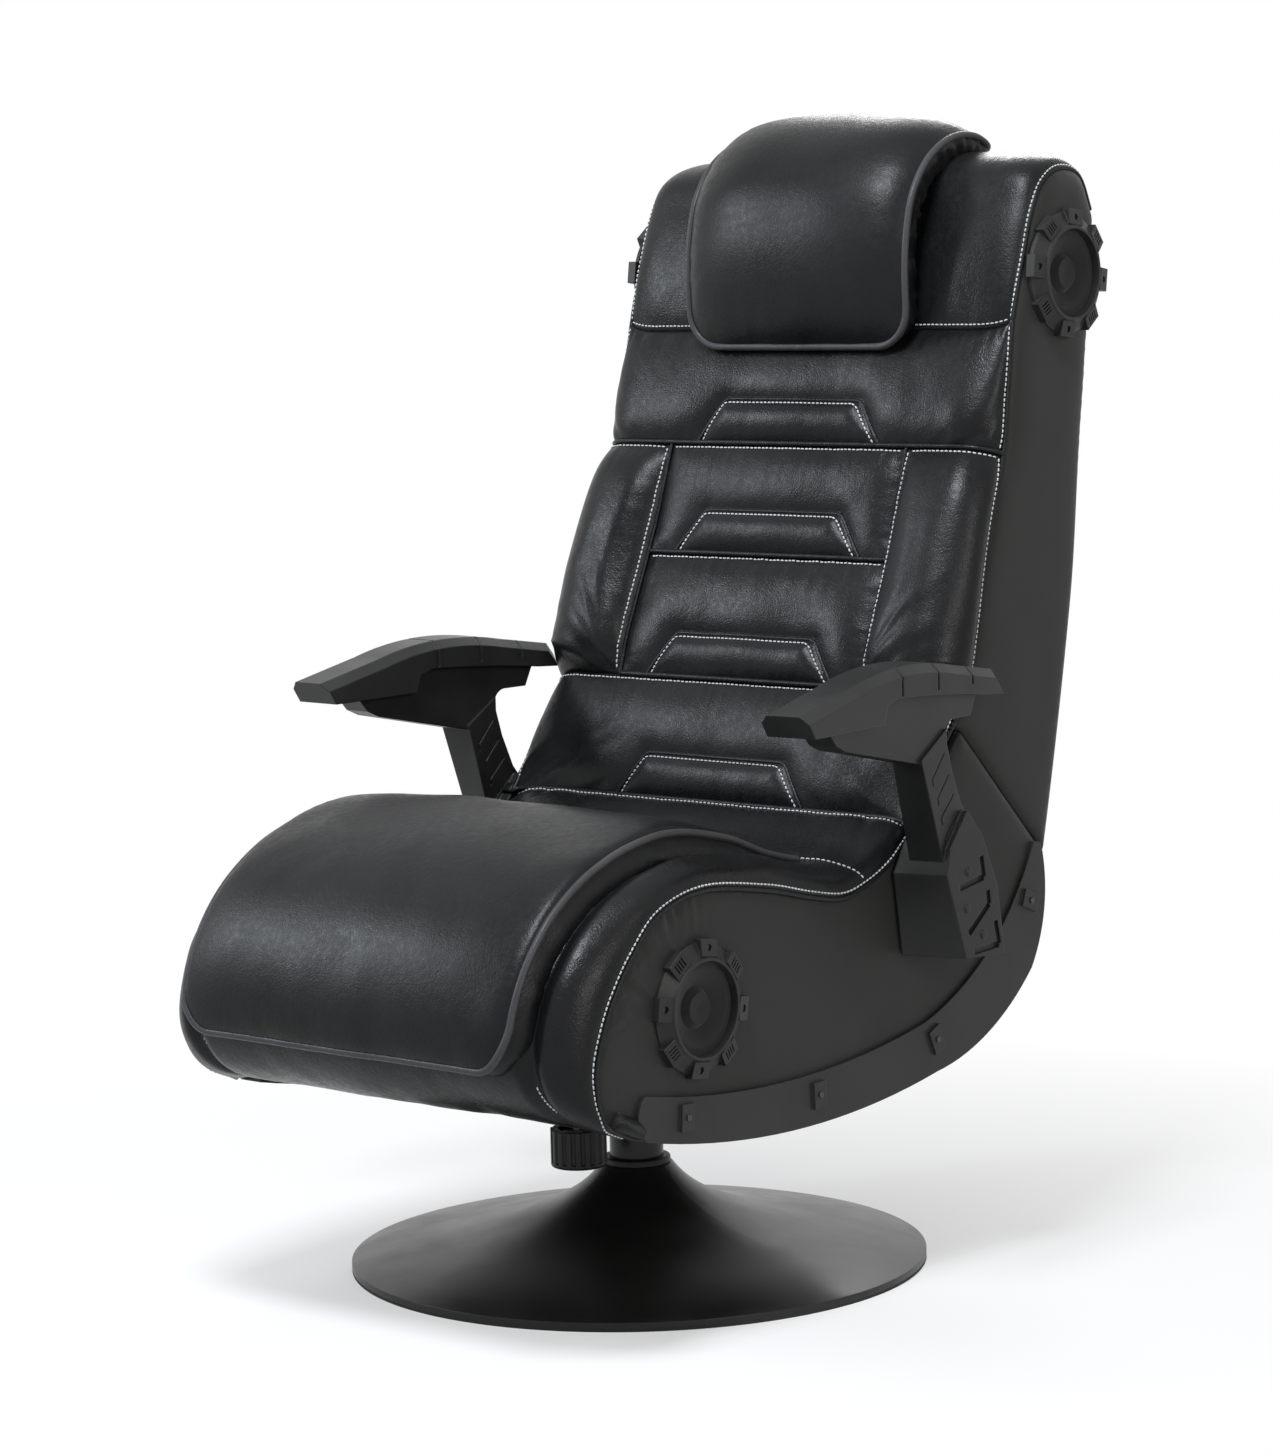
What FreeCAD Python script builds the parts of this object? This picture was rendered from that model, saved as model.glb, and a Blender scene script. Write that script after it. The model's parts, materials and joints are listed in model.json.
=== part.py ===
"""Gaming rocker chair on a swivel pedestal: a steel dish base, a tilt mechanism, an upholstered
rocker-shaped seat shell, two flip-up armrests, a fold-down speaker backrest and a headrest pillow.

Millimetres. +Z is up, the sitter faces -Y and the sitter's left is +X. The origin is on the floor,
on the pedestal's axis. Side outlines are lists of (y, z) points.
"""
import FreeCAD
import Part
import math
import os

V = FreeCAD.Vector
ORIGIN = V(0, 0, 0)
X_AXIS = V(1, 0, 0)
Y_AXIS = V(0, 1, 0)
Z_AXIS = V(0, 0, 1)

# Pedestal base
base_radius = 290.0
base_sheet = 2.5
base_rim_height = 9.0
edge_trim_width = 8.0
edge_trim_height = 3.0
neck_radius = 36.0
neck_top = 100.0
column_radius = 27.0
column_wall = 2.5
column_bottom = 50.0
column_top = 150.0
collar_radius = 34.0
collar_height = 7.0

# Swivel
spindle_radius = 12.0
spindle_bottom = 70.0
spindle_head_radius = 17.0
spindle_head_height = 6.0
bush_bottom = 80.0
bush_flange = 3.0
running_clearance = 0.05

# Tilt mechanism
yoke_sheet = 5.0
yoke_half_width = 45.0
yoke_rear = 60.0
yoke_web_y = -50.0
tilt_axis_z = 188.0
axle_radius = 6.0
ear_half_length = 24.0
ear_above_axis = 12.0
ear_gap = 0.3
tab_front = -112.0
tab_sheet = 4.0
plate_sheet = 4.0
plate_z = 206.0
plate_half_width = 95.0
plate_front = -115.0
plate_rear = 95.0
plate_bolt_x = 75.0
plate_bolt_y = 75.0
plate_bolt_radius = 4.0
plate_bolt_head_radius = 7.0
plate_bolt_head_height = 5.0

# Tension knob, screw and spring
knob_y = -88.0
knob_radius = 28.0
knob_bottom = 112.0
knob_top = 150.0
knob_floor = 8.0
knob_cavity_radius = 20.5
knob_flutes = 18
knob_flute_radius = 2.6
screw_radius = 5.0
screw_top = 224.0
screw_head_radius = 9.0
screw_head_height = 3.0
washer_thickness = 2.0
nut_half_width = 10.0
nut_height = 9.0
spring_coil_radius = 14.0
spring_wire_radius = 2.0
spring_turns = 7

# Seat shell
shell_half_width = 258.0
cover_thickness = 10.0
board_thickness = 15.0
board_inset = 8.0
base_board_thickness = 12.0
base_board_front = -270.0
base_board_rear = 185.0
underside_sheet = 3.0
trim_thickness = 6.0
trim_lip = 4.0
trim_lip_width = 26.0
tab_width = 18.0
tab_length = 26.0
tab_height = 3.0
trim_screw_radius = 3.0
trim_screw_head = 1.4
rail_thickness = 18.0
rail_height = 60.0

# Points of the rocker curve and of the seat shell's side, as (y, z)
rocker_front = (-292.0, 204.0)
rocker_low = (-60.0, 176.5)
rocker_mid = (155.0, 195.0)
rocker_bend = (262.0, 231.0)
rocker_heel = (319.0, 275.0)
rocker_back = (343.0, 335.0)
shell_rear_top = (338.0, 402.0)
fold_front = (211.0, 529.0)
fold_gap = 0.8
back_overhang = 18.0

# Upholstery seams on the centre surface, as (y, z), from the seat's rear seam upwards
seam_seat = (126.0, 449.0)
seam_fold = (178.0, 569.0)
seam_lower = (229.0, 694.0)
seam_wing_top = (269.0, 807.0)
seam_head = (313.0, 924.0)
pad_depth = 42.0
lumbar_depth = 34.0
pad_crown = 9.0
centre_half_width = 158.0
inset_top_half = 90.0
inset_bottom_half = 122.0
inset_height = 47.0
groove_width = 4.0
groove_depth = 4.0
pad_clearance = 0.3
front_pad_half_width = 203.0
lumbar_from_side = 12.0

# Backrest fold
fold_axis = (207.0, 548.0)
fold_wedge = 34.0
gusset_from_side = 41.0
gusset_root_depth = 12.0
hinge_sheet = 4.0
hinge_pin_radius = 5.0
hinge_ear_radius = 16.0

# Headrest pillow
pillow_half_width = 140.0

# Armrests
arm_inner_x = 280.0
arm_tip_y = -124.0
arm_pad_width = 55.0
arm_toe_out = 3.0
arm_pivot = (140.0, 356.0)
arm_pivot_radius = 8.0
arm_bevel = 9.0
arm_grooves = (20.0, 82.0, 142.0)
arm_groove_width = 3.0
arm_groove_depth = 2.0
arm_head_inner_x = 290.0
arm_head_outer_x = 322.0
arm_foot_gap = 0.4
mount_plate_radius = 30.0
mount_plate_thickness = 5.0
post_inner_x = 288.0
post_outer_x = 325.0
foot_outer_x = 319.0
stud_end_x = 308.0
line_width = 1.8
line_depth = 1.5
slot_width = 6.5
slot_depth = 3.5
dome_radius = 4.5
dome_height = 1.6

# Pressed patterns on the post's side: lines as (front, rear, tail), slots as (start, end), and domes
arm_lines = (
    ((84.0, 498.0), (106.0, 522.0), (86.0, 491.0)),
    ((93.0, 479.0), (113.0, 500.0), (95.0, 472.0)),
    ((99.0, 459.0), (121.0, 480.0), (101.0, 452.0)),
    ((105.0, 437.0), (134.0, 463.0), (107.0, 434.0)),
)
foot_slots = (
    ((158.0, 415.0), (162.0, 394.0)), ((162.0, 394.0), (122.0, 388.0)),
    ((168.0, 380.0), (170.0, 366.0)), ((170.0, 366.0), (136.0, 341.0)),
    ((180.0, 348.0), (186.0, 324.0)), ((186.0, 324.0), (144.0, 322.0)),
)
foot_domes = ((137.0, 402.0), (134.0, 366.0), (160.0, 337.0))

# Speakers
speaker_ring_radius = 65.0
speaker_ring_height = 14.0
speaker_inner_radius = 45.0
speaker_blocks = 8
speaker_tile_width = 23.0
speaker_turn = -8.0
speaker_screw_radius = 3.2
vent_width = 1.6
vent_spacing = 3.6
vent_length = 10.0
driver_depth = 46.0
seat_speaker = (-211.0, 316.0)
back_speaker = (400.0, 978.0)

# Control panel, on the sitter's right
panel_centre = (-40.0, 292.0)
panel_length = 130.0
panel_height = 62.0
panel_sheet = 3.0
control_knob_radius = 13.0
control_knob_height = 12.0
control_knob_spacing = 44.0
control_knob_from_edge = 31.0
panel_hole_margin_y = 8.0
panel_hole_margin_z = 6.0
control_shaft_radius = 3.0
amplifier_depth = 45.0
audio_jack_radius = 1.8
audio_jack_depth = 17.0
power_inlet_radius = 2.8
power_inlet_depth = 13.0
socket_spacing = 28.0
socket_from_edge = 16.0

NODES = {}


def node(name, shape):
    """Keeps a sub-part under the name of its file."""
    NODES[name] = shape
    return shape


def mirrored(shape):
    """The same piece on the other side of the chair."""
    return shape.mirror(ORIGIN, X_AXIS)


def segment(a, b):
    return Part.LineSegment(a, b).toShape()


def outline(x, start, steps):
    """A closed outline in the plane at x. A step is a point (y, z), or two points: an arc through
    the first to the second."""
    edges = []
    here = V(x, *start)
    first = here
    for step in steps:
        if isinstance(step[0], tuple):
            through, end = V(x, *step[0]), V(x, *step[1])
            edges.append(Part.Arc(here, through, end).toShape())
        else:
            end = V(x, *step)
            edges.append(segment(here, end))
        here = end
    if here.distanceToPoint(first) > 1e-6:
        edges.append(segment(here, first))
    return Part.Wire(edges)


def slab(x0, x1, start, steps, inset=0.0):
    """A flat piece with a side outline, from x0 to x1, its outline drawn in by inset."""
    wire = outline(x0, start, steps)
    if inset:
        wire = wire.makeOffset2D(-inset)
    return Part.Face(wire).extrude(V(x1 - x0, 0, 0))


def loft(sections):
    """A smooth closed form through outlines given as (x, start, steps)."""
    return Part.makeLoft([outline(*s) for s in sections], True, False)


def ruled(x0, points0, x1, points1):
    """A solid between two outlines of as many straight sides, at x0 and at x1."""
    wires = []
    for x, points in ((x0, points0), (x1, points1)):
        corners = [V(x, *point) for point in points]
        wires.append(Part.makePolygon([*corners, corners[0]]))
    return Part.makeLoft(wires, True, True)


def groove_box(face_x, depth, start, end, width):
    """A cutter for one straight groove of a side face, from start to end."""
    along = unit(start, end)
    side = (-along[1] * width / 2, along[0] * width / 2)
    corners = [
        (start[0] + side[0], start[1] + side[1]), (end[0] + side[0], end[1] + side[1]),
        (end[0] - side[0], end[1] - side[1]), (start[0] - side[0], start[1] - side[1]),
    ]
    return slab(face_x - depth, face_x + 1, corners[0], corners[1:])


def block(x0, x1, y0, y1, z0, z1):
    return Part.makeBox(x1 - x0, y1 - y0, z1 - z0, V(x0, y0, z0))


def rod(radius, start, end):
    """A round bar from start to end."""
    along = end - start
    return Part.makeCylinder(radius, along.Length, start, along)


def rod_x(radius, centre, x0, x1):
    """A round bar along X, through the side point centre."""
    return rod(radius, V(x0, *centre), V(x1, *centre))


def tube(outer, inner, start, end):
    return rod(outer, start, end).cut(rod(inner, start, end))


def between(a, b, share):
    """The point a share of the way from a to b."""
    return (a[0] + (b[0] - a[0]) * share, a[1] + (b[1] - a[1]) * share)


def shifted(point, direction, distance):
    return (point[0] + direction[0] * distance, point[1] + direction[1] * distance)


def unit(a, b):
    length = math.hypot(b[0] - a[0], b[1] - a[1])
    return ((b[0] - a[0]) / length, (b[1] - a[1]) / length)


def outward(a, b):
    """The direction out of the padded surface that runs up from a to b, towards the sitter."""
    along = unit(a, b)
    return (-along[1], along[0])


def joined(shapes):
    """Several pieces made into one solid."""
    whole = shapes[0]
    for piece in shapes[1:]:
        whole = whole.fuse(piece)
    return whole.removeSplitter()


def without(shape, *others):
    for other in others:
        shape = shape.cut(other)
    return shape


def solids(*shapes):
    """Separate solids kept together in one sub-part."""
    return Part.makeCompound([s for shape in shapes for s in shape.Solids])


# Side outlines
fold_rear = shell_rear_top
fold_along = unit(fold_front, fold_rear)
fold_up = (-fold_along[1], fold_along[0])
back_front_foot = shifted(fold_front, fold_up, fold_gap)
back_rear_foot = shifted(shifted(fold_rear, fold_along, back_overhang), fold_up, fold_gap)

shell_steps = [
    ((-346.0, 232.0), (-355.0, 278.0)),
    ((-322.0, 352.0), (-278.0, 401.0)),
    ((-225.0, 424.0), (-175.0, 423.0)),
    ((-107.0, 411.0), (-38.0, 395.0)),
    ((16.0, 388.0), (75.0, 405.0)),
    ((103.0, 421.0), (127.0, 441.0)),
    fold_front,
    fold_rear,
    (rocker_back, rocker_heel),
    (rocker_bend, rocker_mid),
    (rocker_low, rocker_front),
]
back_steps = [
    ((229.0, 600.0), (255.0, 690.0)),
    ((283.0, 762.0), (303.0, 850.0)),
    ((321.0, 940.0), (340.0, 1010.0)),
    ((355.0, 1062.0), (391.0, 1084.0)),
    ((436.0, 1080.0), (462.0, 1035.0)),
    ((423.0, 740.0), back_rear_foot),
]
panel_hole_half = (panel_length / 2 - panel_hole_margin_y, panel_height / 2 - panel_hole_margin_z)
cover_inner_x = shell_half_width - cover_thickness
board_inner_x = cover_inner_x - board_thickness


def base():
    """The dish, its floor trim, and the column with its collar and bush."""
    outer = [
        (neck_radius, neck_top),
        (neck_radius + 19, neck_top - 20),
        (neck_radius + 57, neck_top - 42),
        (neck_radius + 110, neck_top - 60),
        (base_radius - 50, base_rim_height + 12),
        (base_radius, base_rim_height),
    ]
    dish_bottom = edge_trim_height

    def spline(points):
        curve = Part.BSplineCurve()
        curve.interpolate([V(r, 0, z) for r, z in points])
        return curve.toShape()

    inner = [(r - 0.4 * base_sheet, z - base_sheet) for r, z in outer[:-1]]
    inner.append((base_radius - base_sheet, base_rim_height - base_sheet))
    rim_out = V(base_radius, 0, dish_bottom)
    rim_in = V(base_radius - base_sheet, 0, dish_bottom)
    neck_out = V(outer[0][0], 0, outer[0][1])
    neck_in = V(inner[0][0], 0, inner[0][1])
    bore_top = V(column_radius, 0, neck_top)
    bore_low = V(column_radius, 0, neck_top - base_sheet)
    edges = [
        spline(outer),
        segment(V(base_radius, 0, base_rim_height), rim_out),
        segment(rim_out, rim_in),
        segment(rim_in, V(inner[-1][0], 0, inner[-1][1])),
        spline(inner),
        segment(neck_in, bore_low),
        segment(bore_low, bore_top),
        segment(bore_top, neck_out),
    ]
    dish = Part.Face(Part.Wire(Part.__sortEdges__(edges))).revolve(ORIGIN, Z_AXIS, 360)
    node("base_dish", Part.makeSolid(Part.makeShell(dish.Faces)))

    trim_low = V(0, 0, 0)
    trim_seat = V(0, 0, dish_bottom)
    trim = tube(base_radius, base_radius - edge_trim_width, trim_low, trim_seat)
    node("base_edge_trim", trim)

    column_inner = column_radius - column_wall
    node("column_tube", tube(column_radius, column_inner, V(0, 0, column_bottom), V(0, 0, column_top)))
    collar = tube(collar_radius, column_radius, V(0, 0, neck_top), V(0, 0, neck_top + collar_height))
    top_edges = [e for e in collar.Edges if e.BoundBox.ZMin > neck_top + 1 and e.BoundBox.XMax > collar_radius - 1]
    node("column_collar", collar.makeFillet(2.0, top_edges))
    flange_top = column_top + bush_flange
    bush = joined([
        rod(column_inner, V(0, 0, bush_bottom), V(0, 0, column_top)),
        rod(column_radius, V(0, 0, column_top), V(0, 0, flange_top)),
    ])
    bore = rod(spindle_radius + running_clearance, V(0, 0, bush_bottom), V(0, 0, flange_top))
    node("column_bush", bush.cut(bore))


yoke_bottom = column_top + bush_flange
yoke_floor = yoke_bottom + yoke_sheet
tab_top = tilt_axis_z
tab_bottom = tab_top - tab_sheet


def ear(x0, x1, z0, radius):
    """An upright ear from z0 to the tilt axis, rounded over it."""
    foot = (-ear_half_length, z0)
    steps = [
        (-radius, tilt_axis_z),
        ((0, tilt_axis_z + radius), (radius, tilt_axis_z)),
        (ear_half_length, z0),
    ]
    return slab(x0, x1, foot, steps)


def swivel():
    """The spindle, the yoke that it carries, and the axle that the seat tilts on."""
    head_top = bush_bottom - 0.3
    spindle = joined([
        rod(spindle_radius, V(0, 0, spindle_bottom), V(0, 0, yoke_bottom)),
        rod(spindle_head_radius, V(0, 0, head_top - spindle_head_height), V(0, 0, head_top)),
    ])
    node("swivel_spindle", spindle)

    floor = block(-yoke_half_width, yoke_half_width, yoke_web_y, yoke_rear, yoke_bottom, yoke_floor)
    web_rear = yoke_web_y + yoke_sheet
    web = block(-yoke_half_width, yoke_half_width, yoke_web_y, web_rear, yoke_bottom, tab_top)
    tab = block(-yoke_half_width * 0.6, yoke_half_width * 0.6, tab_front, web_rear, tab_bottom, tab_top)
    inner = yoke_half_width - yoke_sheet
    right_ear = ear(inner, yoke_half_width, yoke_bottom, ear_above_axis)
    yoke = joined([floor, web, tab, right_ear, mirrored(right_ear)])
    slot_half = screw_radius + 1.5
    slot = joined([
        rod(slot_half, V(0, knob_y - 5, tab_bottom - 1), V(0, knob_y - 5, tab_top + 1)),
        rod(slot_half, V(0, knob_y, tab_bottom - 1), V(0, knob_y, tab_top + 1)),
        block(-slot_half, slot_half, knob_y - 5, knob_y, tab_bottom - 1, tab_top + 1),
    ])
    axle_hole = rod_x(axle_radius, (0, tilt_axis_z), -plate_half_width, plate_half_width)
    node("swivel_yoke", without(yoke, slot, axle_hole))
    axle_end = yoke_half_width + 3
    shank = rod_x(axle_radius, (0, tilt_axis_z), -axle_end, axle_end)
    heads = [rod_x(axle_radius + 3, (0, tilt_axis_z), s * yoke_half_width, s * axle_end) for s in (-1, 1)]
    node("tilt_axle", joined([shank, *heads]))


def tension():
    """The spring that holds the seat up, and the knob and screw that set it."""
    centre = V(0, knob_y, 0)

    def at(z):
        return centre + V(0, 0, z)

    floor_top = knob_bottom + knob_floor
    body = rod(knob_radius, at(knob_bottom), at(knob_top))
    low_edges = [e for e in body.Edges if e.BoundBox.ZMax < knob_bottom + 1]
    body = body.makeFillet(3.0, low_edges)
    body = body.cut(rod(knob_cavity_radius, at(floor_top), at(knob_top)))
    body = body.cut(rod(screw_radius, at(knob_bottom), at(floor_top)))
    for i in range(knob_flutes):
        angle = 2 * math.pi * i / knob_flutes
        spot = V(math.cos(angle), math.sin(angle), 0) * (knob_radius + 0.6)
        body = body.cut(rod(knob_flute_radius, at(knob_bottom + 5) + spot, at(knob_top) + spot))
    node("tension_knob", body)
    screw = joined([
        rod(screw_radius, at(knob_bottom), at(screw_top)),
        rod(screw_head_radius, at(knob_bottom - screw_head_height), at(knob_bottom)),
    ])
    node("tension_screw", screw)
    washer_low = floor_top + 0.05
    washer_top = washer_low + washer_thickness
    washer = tube(knob_cavity_radius - 1.5, screw_radius + 0.2, at(washer_low), at(washer_top))
    node("tension_washer", washer)

    low = washer_top + spring_wire_radius
    high = tab_bottom - spring_wire_radius
    quarters = 4 * spring_turns

    def coil_point(turn_share):
        angle = 2 * math.pi * spring_turns * turn_share
        lift = low + (high - low) * turn_share
        return at(lift) + V(math.cos(angle), math.sin(angle), 0) * spring_coil_radius

    arcs = []
    for i in range(quarters):
        ends = [coil_point((i + part) / quarters) for part in (0, 0.5, 1)]
        arcs.append(Part.Arc(*ends).toShape())
    path = Part.Wire(arcs)
    start = coil_point(0)
    heading = V(0, 1, (high - low) / (2 * math.pi * spring_turns * spring_coil_radius))
    section = Part.Wire([Part.makeCircle(spring_wire_radius, start, heading)])
    spring = Part.BRepOffsetAPI.MakePipeShell(path)
    spring.add(section)
    spring.build()
    spring.makeSolid()
    node("tension_spring", spring.shape())
    samples = [coil_point(i / (12 * quarters)) for i in range(12 * quarters + 1)]
    apart = 24
    least = min(
        a.distanceToPoint(b)
        for i, a in enumerate(samples)
        for b in samples[i + apart:]
    )
    print("tension spring: least gap to itself %.2f mm" % (least - 2 * spring_wire_radius))


plate_top = plate_z + plate_sheet
board_top = plate_top + base_board_thickness


def seat_frame():
    """The tilt plate, the boards and the rails that carry the seat."""
    plate = block(-plate_half_width, plate_half_width, plate_front, plate_rear, plate_z, plate_top)
    ear_outer = yoke_half_width - yoke_sheet - ear_gap
    foot = (-ear_half_length, plate_top)
    steps = [
        (-ear_above_axis, tilt_axis_z),
        ((0, tilt_axis_z - ear_above_axis), (ear_above_axis, tilt_axis_z)),
        (ear_half_length, plate_top),
    ]
    plate_ear = slab(ear_outer - yoke_sheet, ear_outer, foot, steps)
    nut_base = V(0, knob_y, plate_top)
    nut = block(-nut_half_width, nut_half_width, knob_y - nut_half_width, knob_y + nut_half_width,
                plate_top, plate_top + nut_height)
    plate = joined([plate, plate_ear, mirrored(plate_ear), nut])
    axle_bore = rod_x(axle_radius + running_clearance, (0, tilt_axis_z), -plate_half_width, plate_half_width)
    thread = rod(screw_radius + running_clearance, nut_base - V(0, 0, 20), nut_base + V(0, 0, 20))
    spots = [(x, y) for x in (-plate_bolt_x, plate_bolt_x) for y in (-plate_bolt_y, plate_bolt_y)]
    holes = [rod(plate_bolt_radius, V(x, y, plate_z - 1), V(x, y, board_top + 1)) for x, y in spots]
    node("tilt_plate", without(plate, axle_bore, thread, *holes))
    bolts = []
    for x, y in spots:
        shank = rod(plate_bolt_radius, V(x, y, plate_z), V(x, y, board_top))
        head = rod(plate_bolt_head_radius, V(x, y, plate_z - plate_bolt_head_height), V(x, y, plate_z))
        bolts.append(joined([shank, head]))
    node("plate_bolts", solids(*bolts))

    side = slab(board_inner_x, cover_inner_x, rocker_front, shell_steps, board_inset)
    driver_hole = rod_x(speaker_inner_radius, seat_speaker, board_inner_x - 1, cover_inner_x + 1)
    panel_hole = block(-cover_inner_x - 1, -board_inner_x + 1,
                       panel_centre[0] - panel_hole_half[0], panel_centre[0] + panel_hole_half[0],
                       panel_centre[1] - panel_hole_half[1], panel_centre[1] + panel_hole_half[1])
    pivot_hole = rod_x(arm_pivot_radius, arm_pivot, board_inner_x - 1, cover_inner_x + 1)
    side = without(side, driver_hole, pivot_hole)
    node("seat_side_board_left", side)
    node("seat_side_board_right", mirrored(side).cut(panel_hole))

    board = block(-board_inner_x, board_inner_x, base_board_front, base_board_rear, plate_top, board_top)
    nut_room = rod(nut_half_width * 1.6, nut_base - V(0, 0, 1), nut_base + V(0, 0, 20))
    node("seat_base_board", without(board, nut_room, *holes))
    front_rail = block(-board_inner_x, board_inner_x, base_board_front, base_board_front + rail_thickness,
                       board_top, board_top + rail_height)
    rear_rail = block(-board_inner_x, board_inner_x, base_board_rear - rail_thickness, base_board_rear,
                      board_top, board_top + rail_height * 2)
    node("seat_cross_rails", solids(front_rail, rear_rail))


def underside():
    """The curved cover that closes the shell underneath and behind, between the side boards."""
    clear = trim_lip + 4
    wire_start = rocker_front
    outer = outline(-board_inner_x, wire_start, shell_steps).makeOffset2D(-clear)
    inner = outline(-board_inner_x, wire_start, shell_steps).makeOffset2D(-clear - underside_sheet)
    band = Part.Face(outer).cut(Part.Face(inner)).extrude(V(2 * board_inner_x, 0, 0))
    above = slab(-board_inner_x - 1, board_inner_x + 1, (rocker_front[0] - 100, plate_z - 14), [
        (rocker_mid[0] + 62, plate_z - 14),
        (shell_rear_top[0] - 30, shell_rear_top[1] - 20),
        (shell_rear_top[0] + 60, shell_rear_top[1] - 20),
        (shell_rear_top[0] + 60, shell_rear_top[1] + 300),
        (rocker_front[0] - 100, shell_rear_top[1] + 300),
    ])
    opening = block(-yoke_half_width - 20, yoke_half_width + 20, plate_front - 15, plate_rear,
                    0, plate_z + 50)
    node("underside_cover", without(band, above, opening))


def rocker_trim():
    """The moulded strip along each rocker edge, with its screw tabs, and every screw on the seat."""
    x_face = shell_half_width
    x_out = x_face + trim_thickness
    band = slab(x_face, x_out, rocker_front, [
        ((-304.0, 226.0), (-292.0, 247.0)),
        ((-60.0, 226.0), (134.0, 247.0)),
        ((200.0, 274.0), (257.0, 313.0)),
        ((300.0, 362.0), (326.0, 404.0)),
        fold_rear,
        (rocker_back, rocker_heel),
        (rocker_bend, rocker_mid),
        (rocker_low, rocker_front),
    ])
    whole = outline(x_out - trim_lip_width, rocker_front, shell_steps)
    lip = Part.Face(whole).cut(Part.Face(whole.makeOffset2D(-trim_lip)))
    lip = lip.extrude(V(trim_lip_width, 0, 0))
    keep = slab(0, x_out + 1, (rocker_front[0], 150.0), [
        (rocker_front[0], 235.0), (rocker_mid[0], 235.0), (fold_rear[0] - 14, fold_rear[1] - 16),
        (fold_rear[0] + 30, fold_rear[1] - 16), (fold_rear[0] + 30, 150.0)])
    lip = lip.common(keep)
    tabs, screws = [], []
    for centre, lean in (((-236.0, 218.0), -4), ((-38.0, 205.0), 2), ((152.0, 228.0), 24), ((316.0, 345.0), 68)):
        tab = block(x_out - 1, x_out + tab_height, -tab_width / 2, tab_width / 2, -tab_length / 2, tab_length / 2)
        tab.rotate(ORIGIN, X_AXIS, lean)
        tab.translate(V(0, *centre))
        tabs.append(tab)
        screws.append(rod_x(trim_screw_radius, centre, x_out + tab_height, x_out + tab_height + trim_screw_head))
    trim = joined([band, lip, *tabs])
    node("rocker_trim_left", trim)
    node("rocker_trim_right", mirrored(trim))
    return screws


def side_covers():
    """The padded fabric panels on the outside of the shell and of the backrest."""
    for name, start, steps, centre in (
        ("seat", rocker_front, shell_steps, seat_speaker),
        ("back", back_front_foot, back_steps, back_speaker),
    ):
        inset = trim_lip if name == "seat" else 0.0
        cover = slab(cover_inner_x, shell_half_width, start, steps, inset)
        hole = rod_x(speaker_inner_radius, centre, cover_inner_x - 1, shell_half_width + 1)
        cover = cover.cut(hole)
        if name == "seat":
            cover = cover.cut(rod_x(arm_pivot_radius, arm_pivot, cover_inner_x - 1, shell_half_width + 1))
        other = mirrored(cover)
        if name == "seat":
            other = other.cut(block(-shell_half_width - 1, -cover_inner_x + 1,
                                    panel_centre[0] - panel_hole_half[0], panel_centre[0] + panel_hole_half[0],
                                    panel_centre[1] - panel_hole_half[1], panel_centre[1] + panel_hole_half[1]))
        node(name + "_side_cover_left", cover)
        node(name + "_side_cover_right", other)


def panel_pad(low, high, half_width, crown, depth, draw=7.0):
    """A sewn panel between two seams: crowned, with its sides drawn in. low and high are on the
    centre surface."""
    out = outward(low, high)
    along = unit(low, high)
    middle = between(low, high, 0.5)
    sections = []
    for share in (-1.0, -0.9, -0.45, 0.0, 0.45, 0.9, 1.0):
        sink = draw if abs(share) == 1.0 else 0.0
        rise = crown * (1 - 0.55 * share * share) - (crown * 0.2 if abs(share) == 1.0 else 0.0)
        foot = shifted(shifted(low, out, -sink), along, pad_clearance)
        head = shifted(shifted(high, out, -sink), along, -pad_clearance)
        peak = shifted(middle, out, rise - sink)
        sections.append((half_width * share, shifted(foot, out, -depth), [
            foot, (peak, head), shifted(head, out, -depth)]))
    return loft(sections)


def inset_groove(pad, low, high):
    """Sews the trapezoid inset into a panel: a narrow groove round it, of one depth."""
    out = outward(low, high)
    along = unit(low, high)

    def corner(x, height):
        spot = shifted(low, along, height)
        return V(x, *shifted(spot, out, -10.0))

    def prism(grow):
        points = [
            corner(-inset_bottom_half - grow, -grow), corner(inset_bottom_half + grow, -grow),
            corner(inset_top_half + grow, inset_height + grow), corner(-inset_top_half - grow, inset_height + grow),
        ]
        face = Part.Face(Part.makePolygon([*points, points[0]]))
        return face.extrude(V(0, *out) * 60)

    ring = prism(groove_width / 2).cut(prism(-groove_width / 2))
    sunk = pad.copy()
    sunk.translate(V(0, *out) * -groove_depth)
    return pad.cut(ring.cut(sunk))


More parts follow.
